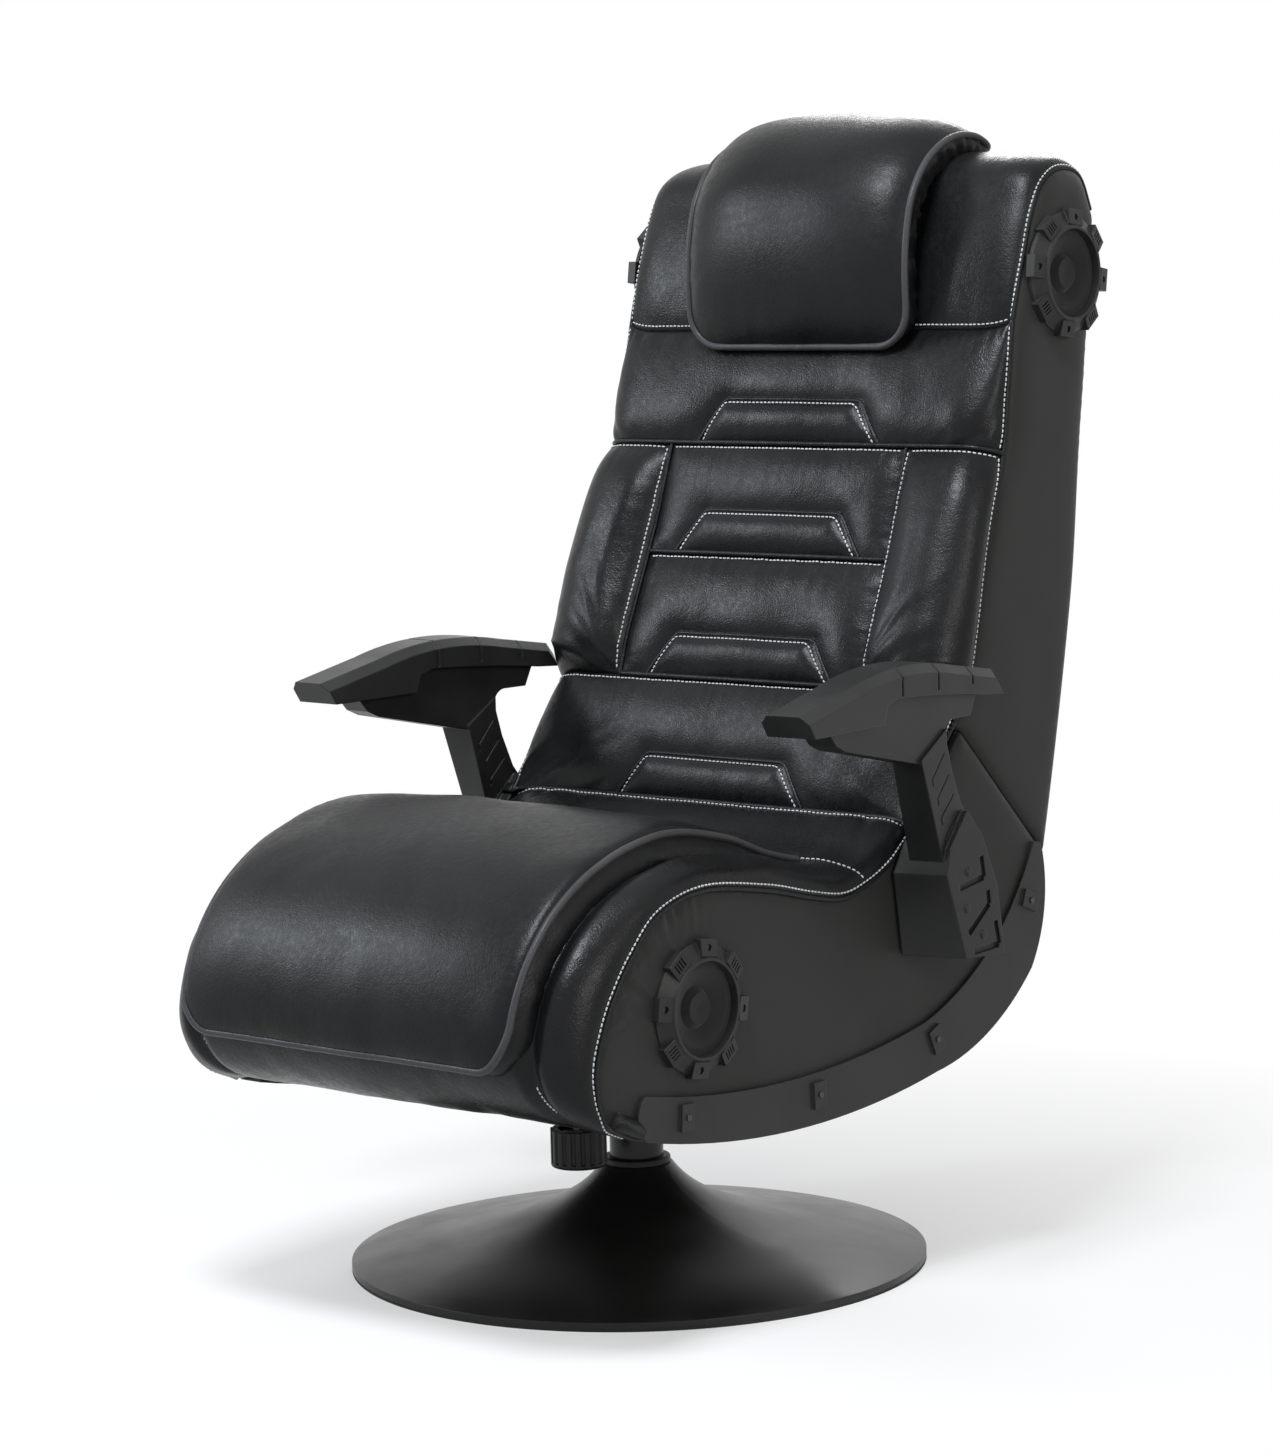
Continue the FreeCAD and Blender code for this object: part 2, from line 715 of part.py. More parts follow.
def seat_cushions():
    """The seat cushion, the piped front pad and the lumbar pad."""
    inner = [(-318.0, 240.0), ((-316.0, 318.0), (-270.0, 370.0)), ((-120.0, 392.0), (40.0, 372.0)), (100.0, 396.0)]

    def seat_section(x, drop):
        return (x, (-338.0 + drop, 226.0), [
            ((-366.0 + drop, 240.0), (-368.0 + drop, 282.0)),
            ((-352.0 + drop, 356.0 - drop), (-300.0 + drop, 410.0 - drop)),
            ((-240.0, 440.0 - drop), (-170.0, 440.0 - drop)),
            ((-60.0, 424.0 - drop), (20.0, 416.0 - drop * 0.9)),
            ((76.0, 422.0 - drop * 0.8), (118.0, 446.0 - drop * 0.3)),
            (112.0, 410.0 - drop),
            inner[2][1], (inner[2][0], inner[1][1]), (inner[1][0], inner[0]),
        ])

    w = shell_half_width - 1
    seat = loft([seat_section(x, d) for x, d in (
        (-w, 15.0), (-w * 0.93, 5.0), (-w * 0.5, 1.0), (0.0, 0.0), (w * 0.5, 1.0), (w * 0.93, 5.0), (w, 15.0))])
    hard = [NODES[n] for n in ("seat_side_board_left", "seat_side_board_right", "seat_side_cover_left",
                               "seat_side_cover_right", "seat_cross_rails")]
    node("seat_cushion", without(seat, *hard))

    def pad_section(x, drop, rise):
        return (x, (-6.0, 428.0 - drop), [
            ((-70.0, 436.0 + rise), (-150.0, 450.0 + rise)),
            ((-236.0, 455.0 + rise), (-304.0, 420.0 + rise)),
            ((-362.0 - rise, 366.0), (-376.0 - rise, 292.0)),
            (-369.0 + drop, 286.0),
            ((-354.0 + drop, 356.0 - drop), (-300.0 + drop, 411.0 - drop)),
            ((-240.0, 441.0 - drop), (-170.0, 441.0 - drop)),
            ((-90.0, 430.0 - drop), (-6.0, 419.0 - drop)),
        ])

    p = front_pad_half_width
    pad = loft([pad_section(x, d, r) for x, d, r in (
        (-p, 3.0, -2.0), (-p * 0.85, 2.0, 10.0), (-p * 0.45, 1.0, 15.0), (0.0, 0.0, 16.0),
        (p * 0.45, 1.0, 15.0), (p * 0.85, 2.0, 10.0), (p, 3.0, -2.0))])
    node("front_pad", without(pad, NODES["seat_cushion"]))

    top = shifted(seam_fold, unit(seam_fold, seam_seat), fold_wedge)
    lumbar_half = shell_half_width - lumbar_from_side
    lumbar = panel_pad(seam_seat, top, lumbar_half, pad_crown, lumbar_depth)
    lumbar = without(lumbar, NODES["seat_cushion"], NODES["fold_hinge_seat"], *hard)
    lumbar = inset_groove(lumbar, seam_seat, seam_fold)
    node("lumbar_pad", max(lumbar.Solids, key=lambda s: s.Volume))


def fold_gusset():
    """The soft crease that bends as the backrest folds: a wedge with its thin edge at the fold axis."""
    down = unit(seam_fold, seam_seat)
    up = unit(seam_fold, seam_lower)
    low = shifted(seam_fold, down, fold_wedge)
    high = shifted(seam_fold, up, fold_wedge)
    root = shifted(fold_axis, outward(seam_seat, seam_lower), gusset_root_depth)
    half = shell_half_width - gusset_from_side
    gusset = slab(-half, half, shifted(root, down, 3.0), [low, seam_fold, high, shifted(root, up, 3.0)])
    node("fold_gusset", gusset)


def back_cushions():
    """The sewn panels of the backrest, its wings, its head roll and the headrest pillow."""
    hard = [NODES[n] for n in ("back_side_board_left", "back_side_board_right", "back_side_cover_left",
                               "back_side_cover_right", "back_cross_rails")]
    foot = shifted(seam_fold, unit(seam_fold, seam_lower), fold_wedge)
    inner = centre_half_width - pad_clearance
    lower = panel_pad(foot, seam_lower, inner, pad_crown, pad_depth, 5.0)
    upper = panel_pad(seam_lower, seam_wing_top, inner, pad_crown, pad_depth, 5.0)
    shoulder = panel_pad(seam_wing_top, seam_head, shell_half_width - 2, pad_crown, pad_depth - 14, 10.0)
    node("back_pad_lower", inset_groove(lower, seam_fold, seam_lower))
    node("back_pad_upper", inset_groove(upper, seam_lower, seam_wing_top))
    shoulder = without(shoulder, *hard)
    node("shoulder_pad", inset_groove(shoulder, seam_wing_top, seam_head))

    w = centre_half_width + pad_clearance
    edge = shell_half_width - 2
    top_in = shifted(shifted(seam_wing_top, outward(seam_lower, seam_wing_top), -36.0),
                     unit(seam_wing_top, seam_lower), 1.5)
    foot_in = (258.0, 598.0)

    def wing_section(x, low, bulge, high):
        return (x, foot_in, [low, (bulge, high), top_in])

    wing = loft([
        wing_section(w, (190.0, 606.0), (226.0, 700.0), (266.5, 804.0)),
        wing_section(w + 22, (182.0, 607.0), (203.0, 702.0), (262.0, 804.5)),
        wing_section(w + 62, (183.0, 605.0), (204.0, 698.0), (266.0, 804.5)),
        wing_section(edge - 8, (192.0, 603.0), (214.0, 694.0), (273.0, 803.0)),
        wing_section(edge, (204.0, 602.0), (226.0, 692.0), (282.0, 800.0)),
    ])
    wing = without(wing, *hard, NODES["fold_hinge_back"])
    wing = max(wing.Solids, key=lambda s: s.Volume)
    node("wing_pad_left", wing)
    node("wing_pad_right", mirrored(wing))

    def head_section(x, drop):
        return (x, (338.0, 938.0), [
            (315.0 + drop, 925.6),
            ((334.0 + drop, 1000.0), (352.0 + drop, 1046.0 - drop)),
            ((370.0 + drop, 1080.0 - drop), (408.0, 1092.0 - drop)),
            ((446.0 - drop, 1080.0 - drop), (466.0 - drop, 1044.0)),
            (452.0, 1040.0),
            ((430.0, 1062.0), (404.0, 1066.0)),
            ((376.0, 1056.0), (360.0, 1030.0)),
        ])

    e = shell_half_width - 2
    head = loft([head_section(x, d) for x, d in (
        (-e, 12.0), (-e * 0.93, 4.0), (0.0, 0.0), (e * 0.93, 4.0), (e, 12.0))])
    node("head_pad", without(head, *hard))

    def pillow_section(x, swell):
        return (x, (330.0, 915.0), [
            ((300.0 - swell * 0.7, 918.0 - swell * 0.3), (296.0 - swell, 950.0)),
            ((296.0 - swell * 1.6, 1010.0), (318.0 - swell * 1.2, 1064.0 + swell * 0.4)),
            ((350.0 - swell * 0.4, 1108.0 + swell * 0.7), (408.0, 1118.0 + swell)),
            (440.0, 1118.0 + swell * 0.6),
            (476.0, 1082.0),
            (468.0, 1046.0),
            ((449.0, 1082.0), (410.0, 1096.0)),
            ((366.0, 1084.0), (348.0, 1046.0)),
            ((332.0, 1000.0), (318.0, 930.0)),
        ])

    p = pillow_half_width
    pillow = loft([pillow_section(x, s) for x, s in (
        (-p, -6.0), (-p * 0.88, 8.0), (-p * 0.5, 17.0), (0.0, 20.0), (p * 0.5, 17.0), (p * 0.88, 8.0), (p, -6.0))])
    pillow = without(pillow, NODES["head_pad"], NODES["shoulder_pad"])
    node("headrest_pillow", max(pillow.Solids, key=lambda s: s.Volume))


def back_frame():
    """The backrest's boards, rails and rear cover."""
    side = slab(board_inner_x, cover_inner_x, back_front_foot, back_steps, board_inset)
    foot = slab(board_inner_x, cover_inner_x, back_front_foot, back_steps)
    near_fold = slab(board_inner_x, cover_inner_x, fold_front, [
        shifted(fold_front, fold_up, 60.0), shifted(fold_rear, fold_up, 60.0), fold_rear])
    side = joined([side, foot.common(near_fold)])
    driver_hole = rod_x(speaker_inner_radius, back_speaker, board_inner_x - 1, cover_inner_x + 1)
    side = side.cut(driver_hole)
    node("back_side_board_left", side)
    node("back_side_board_right", mirrored(side))
    rails = []
    for y, z, half_height in ((310.0, 500.0, 22.0), (352.0, 720.0, 22.0), (404.0, 1046.0, 16.0)):
        rails.append(block(-board_inner_x, board_inner_x, y - rail_thickness / 2, y + rail_thickness / 2,
                           z - half_height, z + half_height))
    node("back_cross_rails", solids(*rails))
    sheet = slab(-board_inner_x, board_inner_x, (346.0, 414.0), [
        ((419.0, 762.0), (452.0, 1030.0)),
        (446.0, 1032.0),
        ((412.6, 763.0), (339.5, 418.0)),
    ])
    node("back_rear_cover", sheet)


def fold_hinges():
    """The steel leaves inside each side board, and the pins that the backrest folds on."""
    seat_leaves, back_leaves = [], []
    x0 = board_inner_x - hinge_sheet
    ear_in = x0 - hinge_sheet - 0.3
    axis = fold_axis
    seat_arm = slab(x0, board_inner_x, shifted(axis, (0.8, 0.6), hinge_ear_radius), [
        (axis[0] - hinge_ear_radius, axis[1]), (202.0, 440.0), (232.0, 440.0), (238.0, 500.0)])
    eye = rod_x(hinge_ear_radius, axis, x0, board_inner_x)
    pin_hole = rod_x(hinge_pin_radius, axis, x0 - 20, board_inner_x + 20)
    seat_leaf = joined([seat_arm, eye]).cut(pin_hole)
    back_eye = rod_x(hinge_ear_radius, axis, ear_in, x0 - 0.3)
    back_arm = slab(ear_in, x0 - 0.3, (axis[0], axis[1] - hinge_ear_radius), [
        (290.0, 590.0), (290.0, 640.0), (250.0, 640.0), (axis[0], axis[1] + hinge_ear_radius)])
    running_hole = rod_x(hinge_pin_radius + running_clearance, axis, ear_in - 1, x0 + 1)
    back_pad = slab(x0 - 0.3, board_inner_x, (262.0, 600.0), [(290.0, 600.0), (290.0, 640.0), (262.0, 640.0)])
    back_leaf = joined([back_eye, back_arm, back_pad]).cut(running_hole)
    pin = joined([
        rod_x(hinge_pin_radius, axis, ear_in - 1, board_inner_x),
        rod_x(hinge_pin_radius + 3, axis, ear_in - 4, ear_in - 0.3)])
    for s in (False, True):
        seat_leaves.append(mirrored(seat_leaf) if s else seat_leaf)
        seat_leaves.append(mirrored(pin) if s else pin)
        back_leaves.append(mirrored(back_leaf) if s else back_leaf)
    node("fold_hinge_seat", solids(*seat_leaves))
    node("fold_hinge_back", solids(*back_leaves))


def arm_pad():
    """The armrest's top pad, with its bevelled edges and three grooves across it."""
    outer_x = arm_inner_x + arm_pad_width
    pad = slab(arm_inner_x, outer_x, (arm_tip_y, 561.0), [
        (arm_tip_y - 14.0, 583.0), (-55.0, 601.0), ((54.0, 614.0), (118.0, 607.0)), (190.0, 596.0),
        (200.0, 584.0), (200.0, 571.0), (168.0, 573.0), ((86.0, 581.0), (14.0, 585.0)), (-4.0, 580.0),
        (-10.0, 562.0)])
    ridges = [e for e in pad.Edges
              if e.BoundBox.ZMin > 582 and e.BoundBox.XLength < 1 and e.BoundBox.ZMax > 594]
    pad = pad.makeChamfer(arm_bevel, ridges)
    sunk = pad.copy()
    sunk.translate(V(0, 0, -arm_groove_depth))
    core = sunk.common(block(arm_inner_x + arm_groove_depth, outer_x - arm_groove_depth, -200, 250, 500, 700))
    for y in arm_grooves:
        cut = block(arm_inner_x - 1, outer_x + 1, y, y + arm_groove_width, 586.0, 640.0)
        pad = pad.cut(cut.cut(core))
    return pad


def toed_out(shape):
    """The upper part of an armrest turned about its inner front corner, its tip pointing outwards."""
    turned = shape.copy()
    turned.rotate(V(arm_inner_x, arm_tip_y, 0), Z_AXIS, arm_toe_out)
    return turned


def arm_post(pad):
    """The armrest's moulded post, from the head under the pad down to its foot."""
    head = slab(arm_head_inner_x, arm_head_outer_x, (-84.0, 562.0), [
        (-72.0, 548.0), (-56.0, 541.0), (68.0, 515.0), (111.0, 515.0), (111.0, 531.0),
        ((115.0, 548.0), (129.0, 553.0)), (158.0, 553.0), (168.0, 573.0), (168.0, 590.0), (-84.0, 590.0)])
    rear = [(160.0, 437.0), (134.0, 470.0), (119.0, 504.0), (111.0, 531.0), (111.0, 545.0)]
    shaft = ruled(post_inner_x, [(70.0, 519.0), (99.0, 411.0), *rear],
                  post_outer_x, [(66.0, 519.0), (103.0, 411.0), *rear])
    above_pad = block(200, 400, -200, 250, 560, 700)
    upper = joined([head.cut(above_pad.common(pad)), shaft]).cut(pad)
    lines = []
    inner_face = post_inner_x + line_depth - 1
    for front, rear_end, tail in arm_lines:
        for face in (post_outer_x, inner_face):
            lines.append(groove_box(face, line_depth, rear_end, front, line_width))
            lines.append(groove_box(face, line_depth, front, tail, line_width))
    upper = toed_out(without(upper, *lines))
    foot_inner_x = shell_half_width + mount_plate_thickness + arm_foot_gap
    foot = ruled(
        foot_inner_x,
        [(88.0, 403.0), (100.0, 320.0), (193.0, 315.0), (182.0, 384.0), (158.0, 437.0), (135.0, 462.0),
         (104.0, 428.0)],
        foot_outer_x,
        [(101.0, 403.0), (131.0, 317.0), (196.0, 313.0), (184.0, 384.0), (160.0, 437.0), (137.0, 462.0),
         (108.0, 428.0)])
    slots = [groove_box(foot_outer_x, slot_depth, start, end, slot_width) for start, end in foot_slots]
    pivot_bore = rod_x(arm_pivot_radius + running_clearance, arm_pivot, foot_inner_x - 1,
                       stud_end_x + arm_foot_gap)
    post = without(joined([upper, foot]), pivot_bore, *slots)
    domes = []
    for centre in foot_domes:
        dome = rod_x(dome_radius, centre, foot_outer_x - 1, foot_outer_x + dome_height)
        rim = [e for e in dome.Edges if e.BoundBox.XMin > foot_outer_x]
        domes.append(dome.makeFillet(dome_height * 0.8, rim))
    post = joined([post, *domes])
    return max(post.Solids, key=lambda s: s.Volume)


def armrests():
    """Each armrest's moulded post and its top pad, and the fixed pivots in the shell's sides."""
    pad = arm_pad()
    post = arm_post(pad)
    node("arm_post_left", post)
    node("arm_post_right", mirrored(post))
    pad = toed_out(pad)
    node("arm_pad_left", pad)
    node("arm_pad_right", mirrored(pad))
    plate = rod_x(mount_plate_radius, arm_pivot, shell_half_width, shell_half_width + mount_plate_thickness)
    stud = rod_x(arm_pivot_radius, arm_pivot, board_inner_x, stud_end_x)
    pivot = joined([plate, stud])
    node("arm_pivots", solids(pivot, mirrored(pivot)))


def speaker_tile(angle):
    """One raised block of a speaker's ring, at an angle round it, about the X axis."""
    face = shell_half_width
    inner = speaker_inner_radius + 4
    outer = speaker_ring_radius
    low = face + speaker_ring_height - 4
    high = face + speaker_ring_height - 1
    corners = [V(face, 0, inner), V(face, 0, outer), V(low, 0, outer), V(high, 0, inner)]
    tile = Part.Face(Part.makePolygon([*corners, corners[0]])).extrude(V(0, speaker_tile_width, 0))
    tile.translate(V(0, -speaker_tile_width / 2, 0))
    tile.rotate(ORIGIN, X_AXIS, angle)
    return tile


def speaker(centre):
    """A speaker on the +X side: its screwed ring, and the driver behind it. Returns the screws too."""
    face = shell_half_width
    y, z = centre
    inner = speaker_inner_radius
    edge = speaker_ring_radius - 3
    section = [
        V(face, 0, inner), V(face + speaker_ring_height, 0, inner),
        V(face + speaker_ring_height, 0, inner + 2.5), V(face + speaker_ring_height - 2, 0, inner + 4),
        V(face + 4, 0, edge), V(face, 0, edge),
    ]
    ring = Part.Face(Part.makePolygon([*section, section[0]])).revolve(ORIGIN, X_AXIS, 360)
    ring = Part.makeSolid(Part.makeShell(ring.Faces))
    step = 360 / speaker_blocks
    angles = [speaker_turn + i * step for i in range(speaker_blocks)]
    ring = joined([ring, *[speaker_tile(angle) for angle in angles]])
    screws = []
    middle = (inner + 4 + speaker_ring_radius) / 2
    screw_seat = face + 5
    top = face + speaker_ring_height
    for i, angle in enumerate(angles):
        if i % 2 == 0:
            well = rod_x(speaker_screw_radius + 0.1, (0, middle), screw_seat, top + 1)
            screw = rod_x(speaker_screw_radius, (0, middle), screw_seat, top - 4.5)
            well.rotate(ORIGIN, X_AXIS, angle)
            screw.rotate(ORIGIN, X_AXIS, angle)
            screw.translate(V(0, *centre))
            screws.append(screw)
            ring = ring.cut(well)
            continue
        for side in (-1.5, -0.5, 0.5, 1.5):
            offset = side * vent_spacing
            vent = block(top - 6.5, top + 1, offset - vent_width / 2, offset + vent_width / 2,
                         middle - vent_length / 2, middle + vent_length / 2)
            vent.rotate(ORIGIN, X_AXIS, angle)
            ring = ring.cut(vent)
    ring.translate(V(0, y, z))
    profile = [
        V(face + 3, 0, 0), V(face + 5, 15, 0), V(face - 2, 20, 0), V(face + 5, inner - 8, 0),
        V(face + 5, inner, 0), V(face - 3, inner, 0), V(face - driver_depth + 16, 24, 0),
        V(face - driver_depth + 14, 32, 0), V(face - driver_depth, 32, 0), V(face - driver_depth, 0, 0),
    ]
    driver = Part.Face(Part.makePolygon([*profile, profile[0]])).revolve(ORIGIN, X_AXIS, 360)
    driver = Part.makeSolid(Part.makeShell(driver.Faces))
    driver.translate(V(0, y, z))
    return ring, driver, screws


def speakers(trim_screws):
    """The four speakers and the screws of each body."""
    for name, centre in (("seat", seat_speaker), ("back", back_speaker)):
        ring, driver, screws = speaker(centre)
        node(name + "_speaker_ring_left", ring)
        node(name + "_speaker_ring_right", mirrored(ring))
        node(name + "_speaker_drivers", solids(driver, mirrored(driver)))
        kept = screws + (trim_screws if name == "seat" else [])
        node(name + "_screws", solids(*kept, *[mirrored(s) for s in kept]))


def controls():
    """The control panel on the sitter's right, its two knobs and the amplifier behind it."""
    y, z = panel_centre
    face = shell_half_width
    low_y, high_y = y - panel_length / 2, y + panel_length / 2
    low_z, high_z = z - panel_height / 2, z + panel_height / 2
    panel = block(face, face + panel_sheet, low_y, high_y, low_z, high_z)
    panel = panel.makeFillet(8.0, [e for e in panel.Edges if e.BoundBox.XLength > 1])
    first_shaft = low_y + control_knob_from_edge
    shafts = [(first_shaft, z), (first_shaft + control_knob_spacing, z)]
    for shaft in shafts:
        panel = panel.cut(rod_x(control_shaft_radius + running_clearance, shaft, face - 1, face + panel_sheet + 1))
    front = face + panel_sheet
    sockets = []
    for radius, depth, height in ((audio_jack_radius, audio_jack_depth, z + socket_spacing / 2),
                                  (power_inlet_radius, power_inlet_depth, z - socket_spacing / 2)):
        sockets.append(rod_x(radius, (high_y - socket_from_edge, height), front - depth, front + 1))
    node("control_panel", mirrored(without(panel, *sockets)))
    box = block(face - amplifier_depth, face, low_y + 10, high_y - 10, low_z + 8, high_z - 8)
    for shaft in shafts:
        box = box.cut(rod_x(control_shaft_radius + running_clearance, shaft, face - 6, face + 1))
    node("amplifier_box", mirrored(without(box, *sockets)))
    start = face + panel_sheet + 0.3
    for name, shaft in zip(("volume_knob", "bass_knob"), shafts):
        knob = rod_x(control_knob_radius, shaft, start, start + control_knob_height)
        knob = knob.makeChamfer(1.5, [e for e in knob.Edges if e.BoundBox.XMin > start + 1])
        for i in range(14):
            angle = 2 * math.pi * i / 14
            spot = (shaft[0] + math.cos(angle) * (control_knob_radius + 0.4),
                    shaft[1] + math.sin(angle) * (control_knob_radius + 0.4))
            knob = knob.cut(rod_x(1.2, spot, start + 2, start + control_knob_height + 1))
        pointer = block(start + control_knob_height - 1, start + control_knob_height + 1,
                        shaft[0] - 0.8, shaft[0] + 0.8, shaft[1] + 3, shaft[1] + control_knob_radius)
        knob = knob.cut(pointer)
        knob = joined([knob, rod_x(control_shaft_radius, shaft, face - 5, start)])
        node(name, mirrored(knob))


def main():
    base()
    swivel()
    tension()
    seat_frame()
    underside()
    trim_screws = rocker_trim()
    back_frame()
    side_covers()
    fold_hinges()
    seat_cushions()
    fold_gusset()
    back_cushions()
    armrests()
    speakers(trim_screws)
    controls()
    os.makedirs("parts", exist_ok=True)
    for name, shape in NODES.items():
        shape.exportStep(os.path.join("parts", name + ".step"))
    print(len(NODES), "sub-parts")


main()
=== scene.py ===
"""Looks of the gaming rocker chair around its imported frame: leather, fabric, stitching, piping,
plastics, steel, light and camera. Sizes are in millimetres until a mesh is made."""
import json
import math

import bmesh
import bpy
import numpy as np
from mathutils import Matrix, Vector
from mathutils.geometry import delaunay_2d_cdt


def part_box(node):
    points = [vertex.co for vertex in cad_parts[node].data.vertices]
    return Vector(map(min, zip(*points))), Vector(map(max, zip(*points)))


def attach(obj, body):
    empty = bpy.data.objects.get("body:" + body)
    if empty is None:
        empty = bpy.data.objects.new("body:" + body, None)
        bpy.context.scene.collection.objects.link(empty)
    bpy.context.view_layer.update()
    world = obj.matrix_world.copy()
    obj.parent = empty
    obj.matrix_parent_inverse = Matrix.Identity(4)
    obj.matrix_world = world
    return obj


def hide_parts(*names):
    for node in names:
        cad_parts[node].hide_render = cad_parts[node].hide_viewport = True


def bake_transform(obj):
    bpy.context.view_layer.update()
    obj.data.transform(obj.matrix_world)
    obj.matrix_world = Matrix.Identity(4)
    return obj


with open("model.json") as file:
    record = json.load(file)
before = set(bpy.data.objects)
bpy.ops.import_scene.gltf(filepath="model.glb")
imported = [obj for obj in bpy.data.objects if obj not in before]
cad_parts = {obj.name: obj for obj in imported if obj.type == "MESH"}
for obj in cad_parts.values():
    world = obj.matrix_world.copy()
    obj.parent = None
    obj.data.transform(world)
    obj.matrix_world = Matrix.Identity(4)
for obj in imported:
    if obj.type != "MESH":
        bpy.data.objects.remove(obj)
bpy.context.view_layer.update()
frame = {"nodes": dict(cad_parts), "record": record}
nodes = frame["nodes"]
scene = bpy.context.scene
MM = 0.001

# Camera, fitted to the photograph
camera_azimuth = 40.5
camera_elevation = 6.7191
camera_roll = -1.459
camera_distance = 4.2208
camera_aim_right = 0.0107
camera_aim_height = 0.5402
camera_lens = 104.77

# Upholstery: the centre line and the side seam of each padded surface, station by station, as (y, z)
back_centre = [
    (126, 449), (143, 495), (160, 533), (178, 569), (194, 613), (229, 694), (247, 740), (269, 807),
    (283, 851), (313, 924), (334, 1000), (352, 1046), (370, 1080), (408, 1092), (446, 1080), (466, 1044)]
back_edge = [
    (114, 446), (141, 478), (174, 512), (208, 550), (228, 585), (253, 684), (271, 739), (297, 799),
    (308, 864), (320, 933), (341, 1000), (355, 1040), (374, 1070), (404, 1084), (440, 1076), (463, 1035)]
seat_centre = [
    (-314, 223), (-348, 233), (-374, 250), (-391, 276), (-393, 304), (-385, 336), (-366, 370), (-332, 403),
    (-280, 432), (-202, 449), (-110, 441), (-40, 424), (10, 416), (52, 421), (88, 434), (126, 449)]
seat_edge = [
    (-305, 209), (-338, 226), (-351, 243), (-355, 262), (-354, 285), (-343, 315), (-327, 344), (-300, 378),
    (-262, 411), (-198, 424), (-107, 412), (-38, 396), (10, 388), (44, 394), (84, 410), (127, 440)]
station_fold = 3
station_lower = 5
station_wing_top = 7
station_head = 9
half_width = 258.0
back_narrowing = ((0, 0.0), (4, 0.0), (7, 6.0), (9, 8.0), (15, 8.0))
back_round = 43.0
under_inset = 6.5
under_half = 66.0
under_opening = (-131.0, 96.0)
seat_round = 48.0
wing_seam = 158.0
inset_bottom = 122.0
inset_top = 90.0
inset_height = 47.0

# Headrest pillow: its piping line, as (y, z)
pillow_line = [
    (289, 908), (288, 945), (287, 985), (291, 1025), (303, 1064), (331, 1098), (370, 1118), (410, 1120),
    (444, 1106)]
pillow_half = 142.0

# Front pad
pad_half = 209.0
pad_rim = 20.0
pad_crown = 8.5

# Seams and thread
stitch_pitch = 5.2
stitch_length = 3.7
stitch_radius = 0.85
stitch_offset = 4.6
stitch_lift = 0.2
stitch_end = 9.0
edge_stitch_inset = 8.0
edge_fold_inset = 0.5
edge_fold_radius = 2.6
piping_radius = 3.9

# How high each padded part stands over its surface, and the depth of its folds
panel_crown = 12.0
lumbar_crown = 10.0
wing_crown = 31.0
seat_crown = 8.0
pillow_crown = 31.0
pillow_wall = 29.0
inset_puff = 3.4
lumbar_folds = 3.4
shoulder_folds = 2.8
wing_folds = 4.2
seat_folds = 2.0
pad_valley = 9.0
side_folds = 3.0

# Tension spring
coil_wire = 2.0
coil_turns = 7


def value_noise(x, y, seed):
    """Smooth seeded noise from -1 to 1 over arrays x and y, with cells of size 1."""
    cells = 64
    table = np.random.default_rng(seed).uniform(-1, 1, (cells, cells))
    x, y = np.broadcast_arrays(np.asarray(x, float), np.asarray(y, float))
    i, j = np.floor(x).astype(int), np.floor(y).astype(int)
    u, v = x - i, y - j
    u = u * u * (3 - 2 * u)
    v = v * v * (3 - 2 * v)
    a = table[i % cells, j % cells]
    b = table[(i + 1) % cells, j % cells]
    c = table[i % cells, (j + 1) % cells]
    d = table[(i + 1) % cells, (j + 1) % cells]
    return (a * (1 - u) + b * u) * (1 - v) + (c * (1 - u) + d * u) * v


def smoothstep(low, high, x):
    t = np.clip((x - low) / (high - low), 0, 1)
    return t * t * (3 - 2 * t)


def rise(distance, width):
    """0 at a seam, and 1 well away from it."""
    return 1 - np.exp(-np.maximum(distance, 0) / width)


def smooth_line(points, per_span=24):
    """Points along a smooth curve through the given ones, and the index of each along them."""
    points = np.array(points, float)
    ends = np.vstack([2 * points[0] - points[1], points, 2 * points[-1] - points[-2]])
    out, index = [], []
    for i in range(len(points) - 1):
        p0, p1, p2, p3 = ends[i:i + 4]
        for k in range(per_span):
            t = k / per_span
            out.append(0.5 * (2 * p1 + (p2 - p0) * t + (2 * p0 - 5 * p1 + 4 * p2 - p3) * t * t
                              + (3 * p1 - p0 - 3 * p2 + p3) * t ** 3))
            index.append(i + t)
    out.append(points[-1])
    index.append(len(points) - 1)
    return np.array(out), np.array(index)


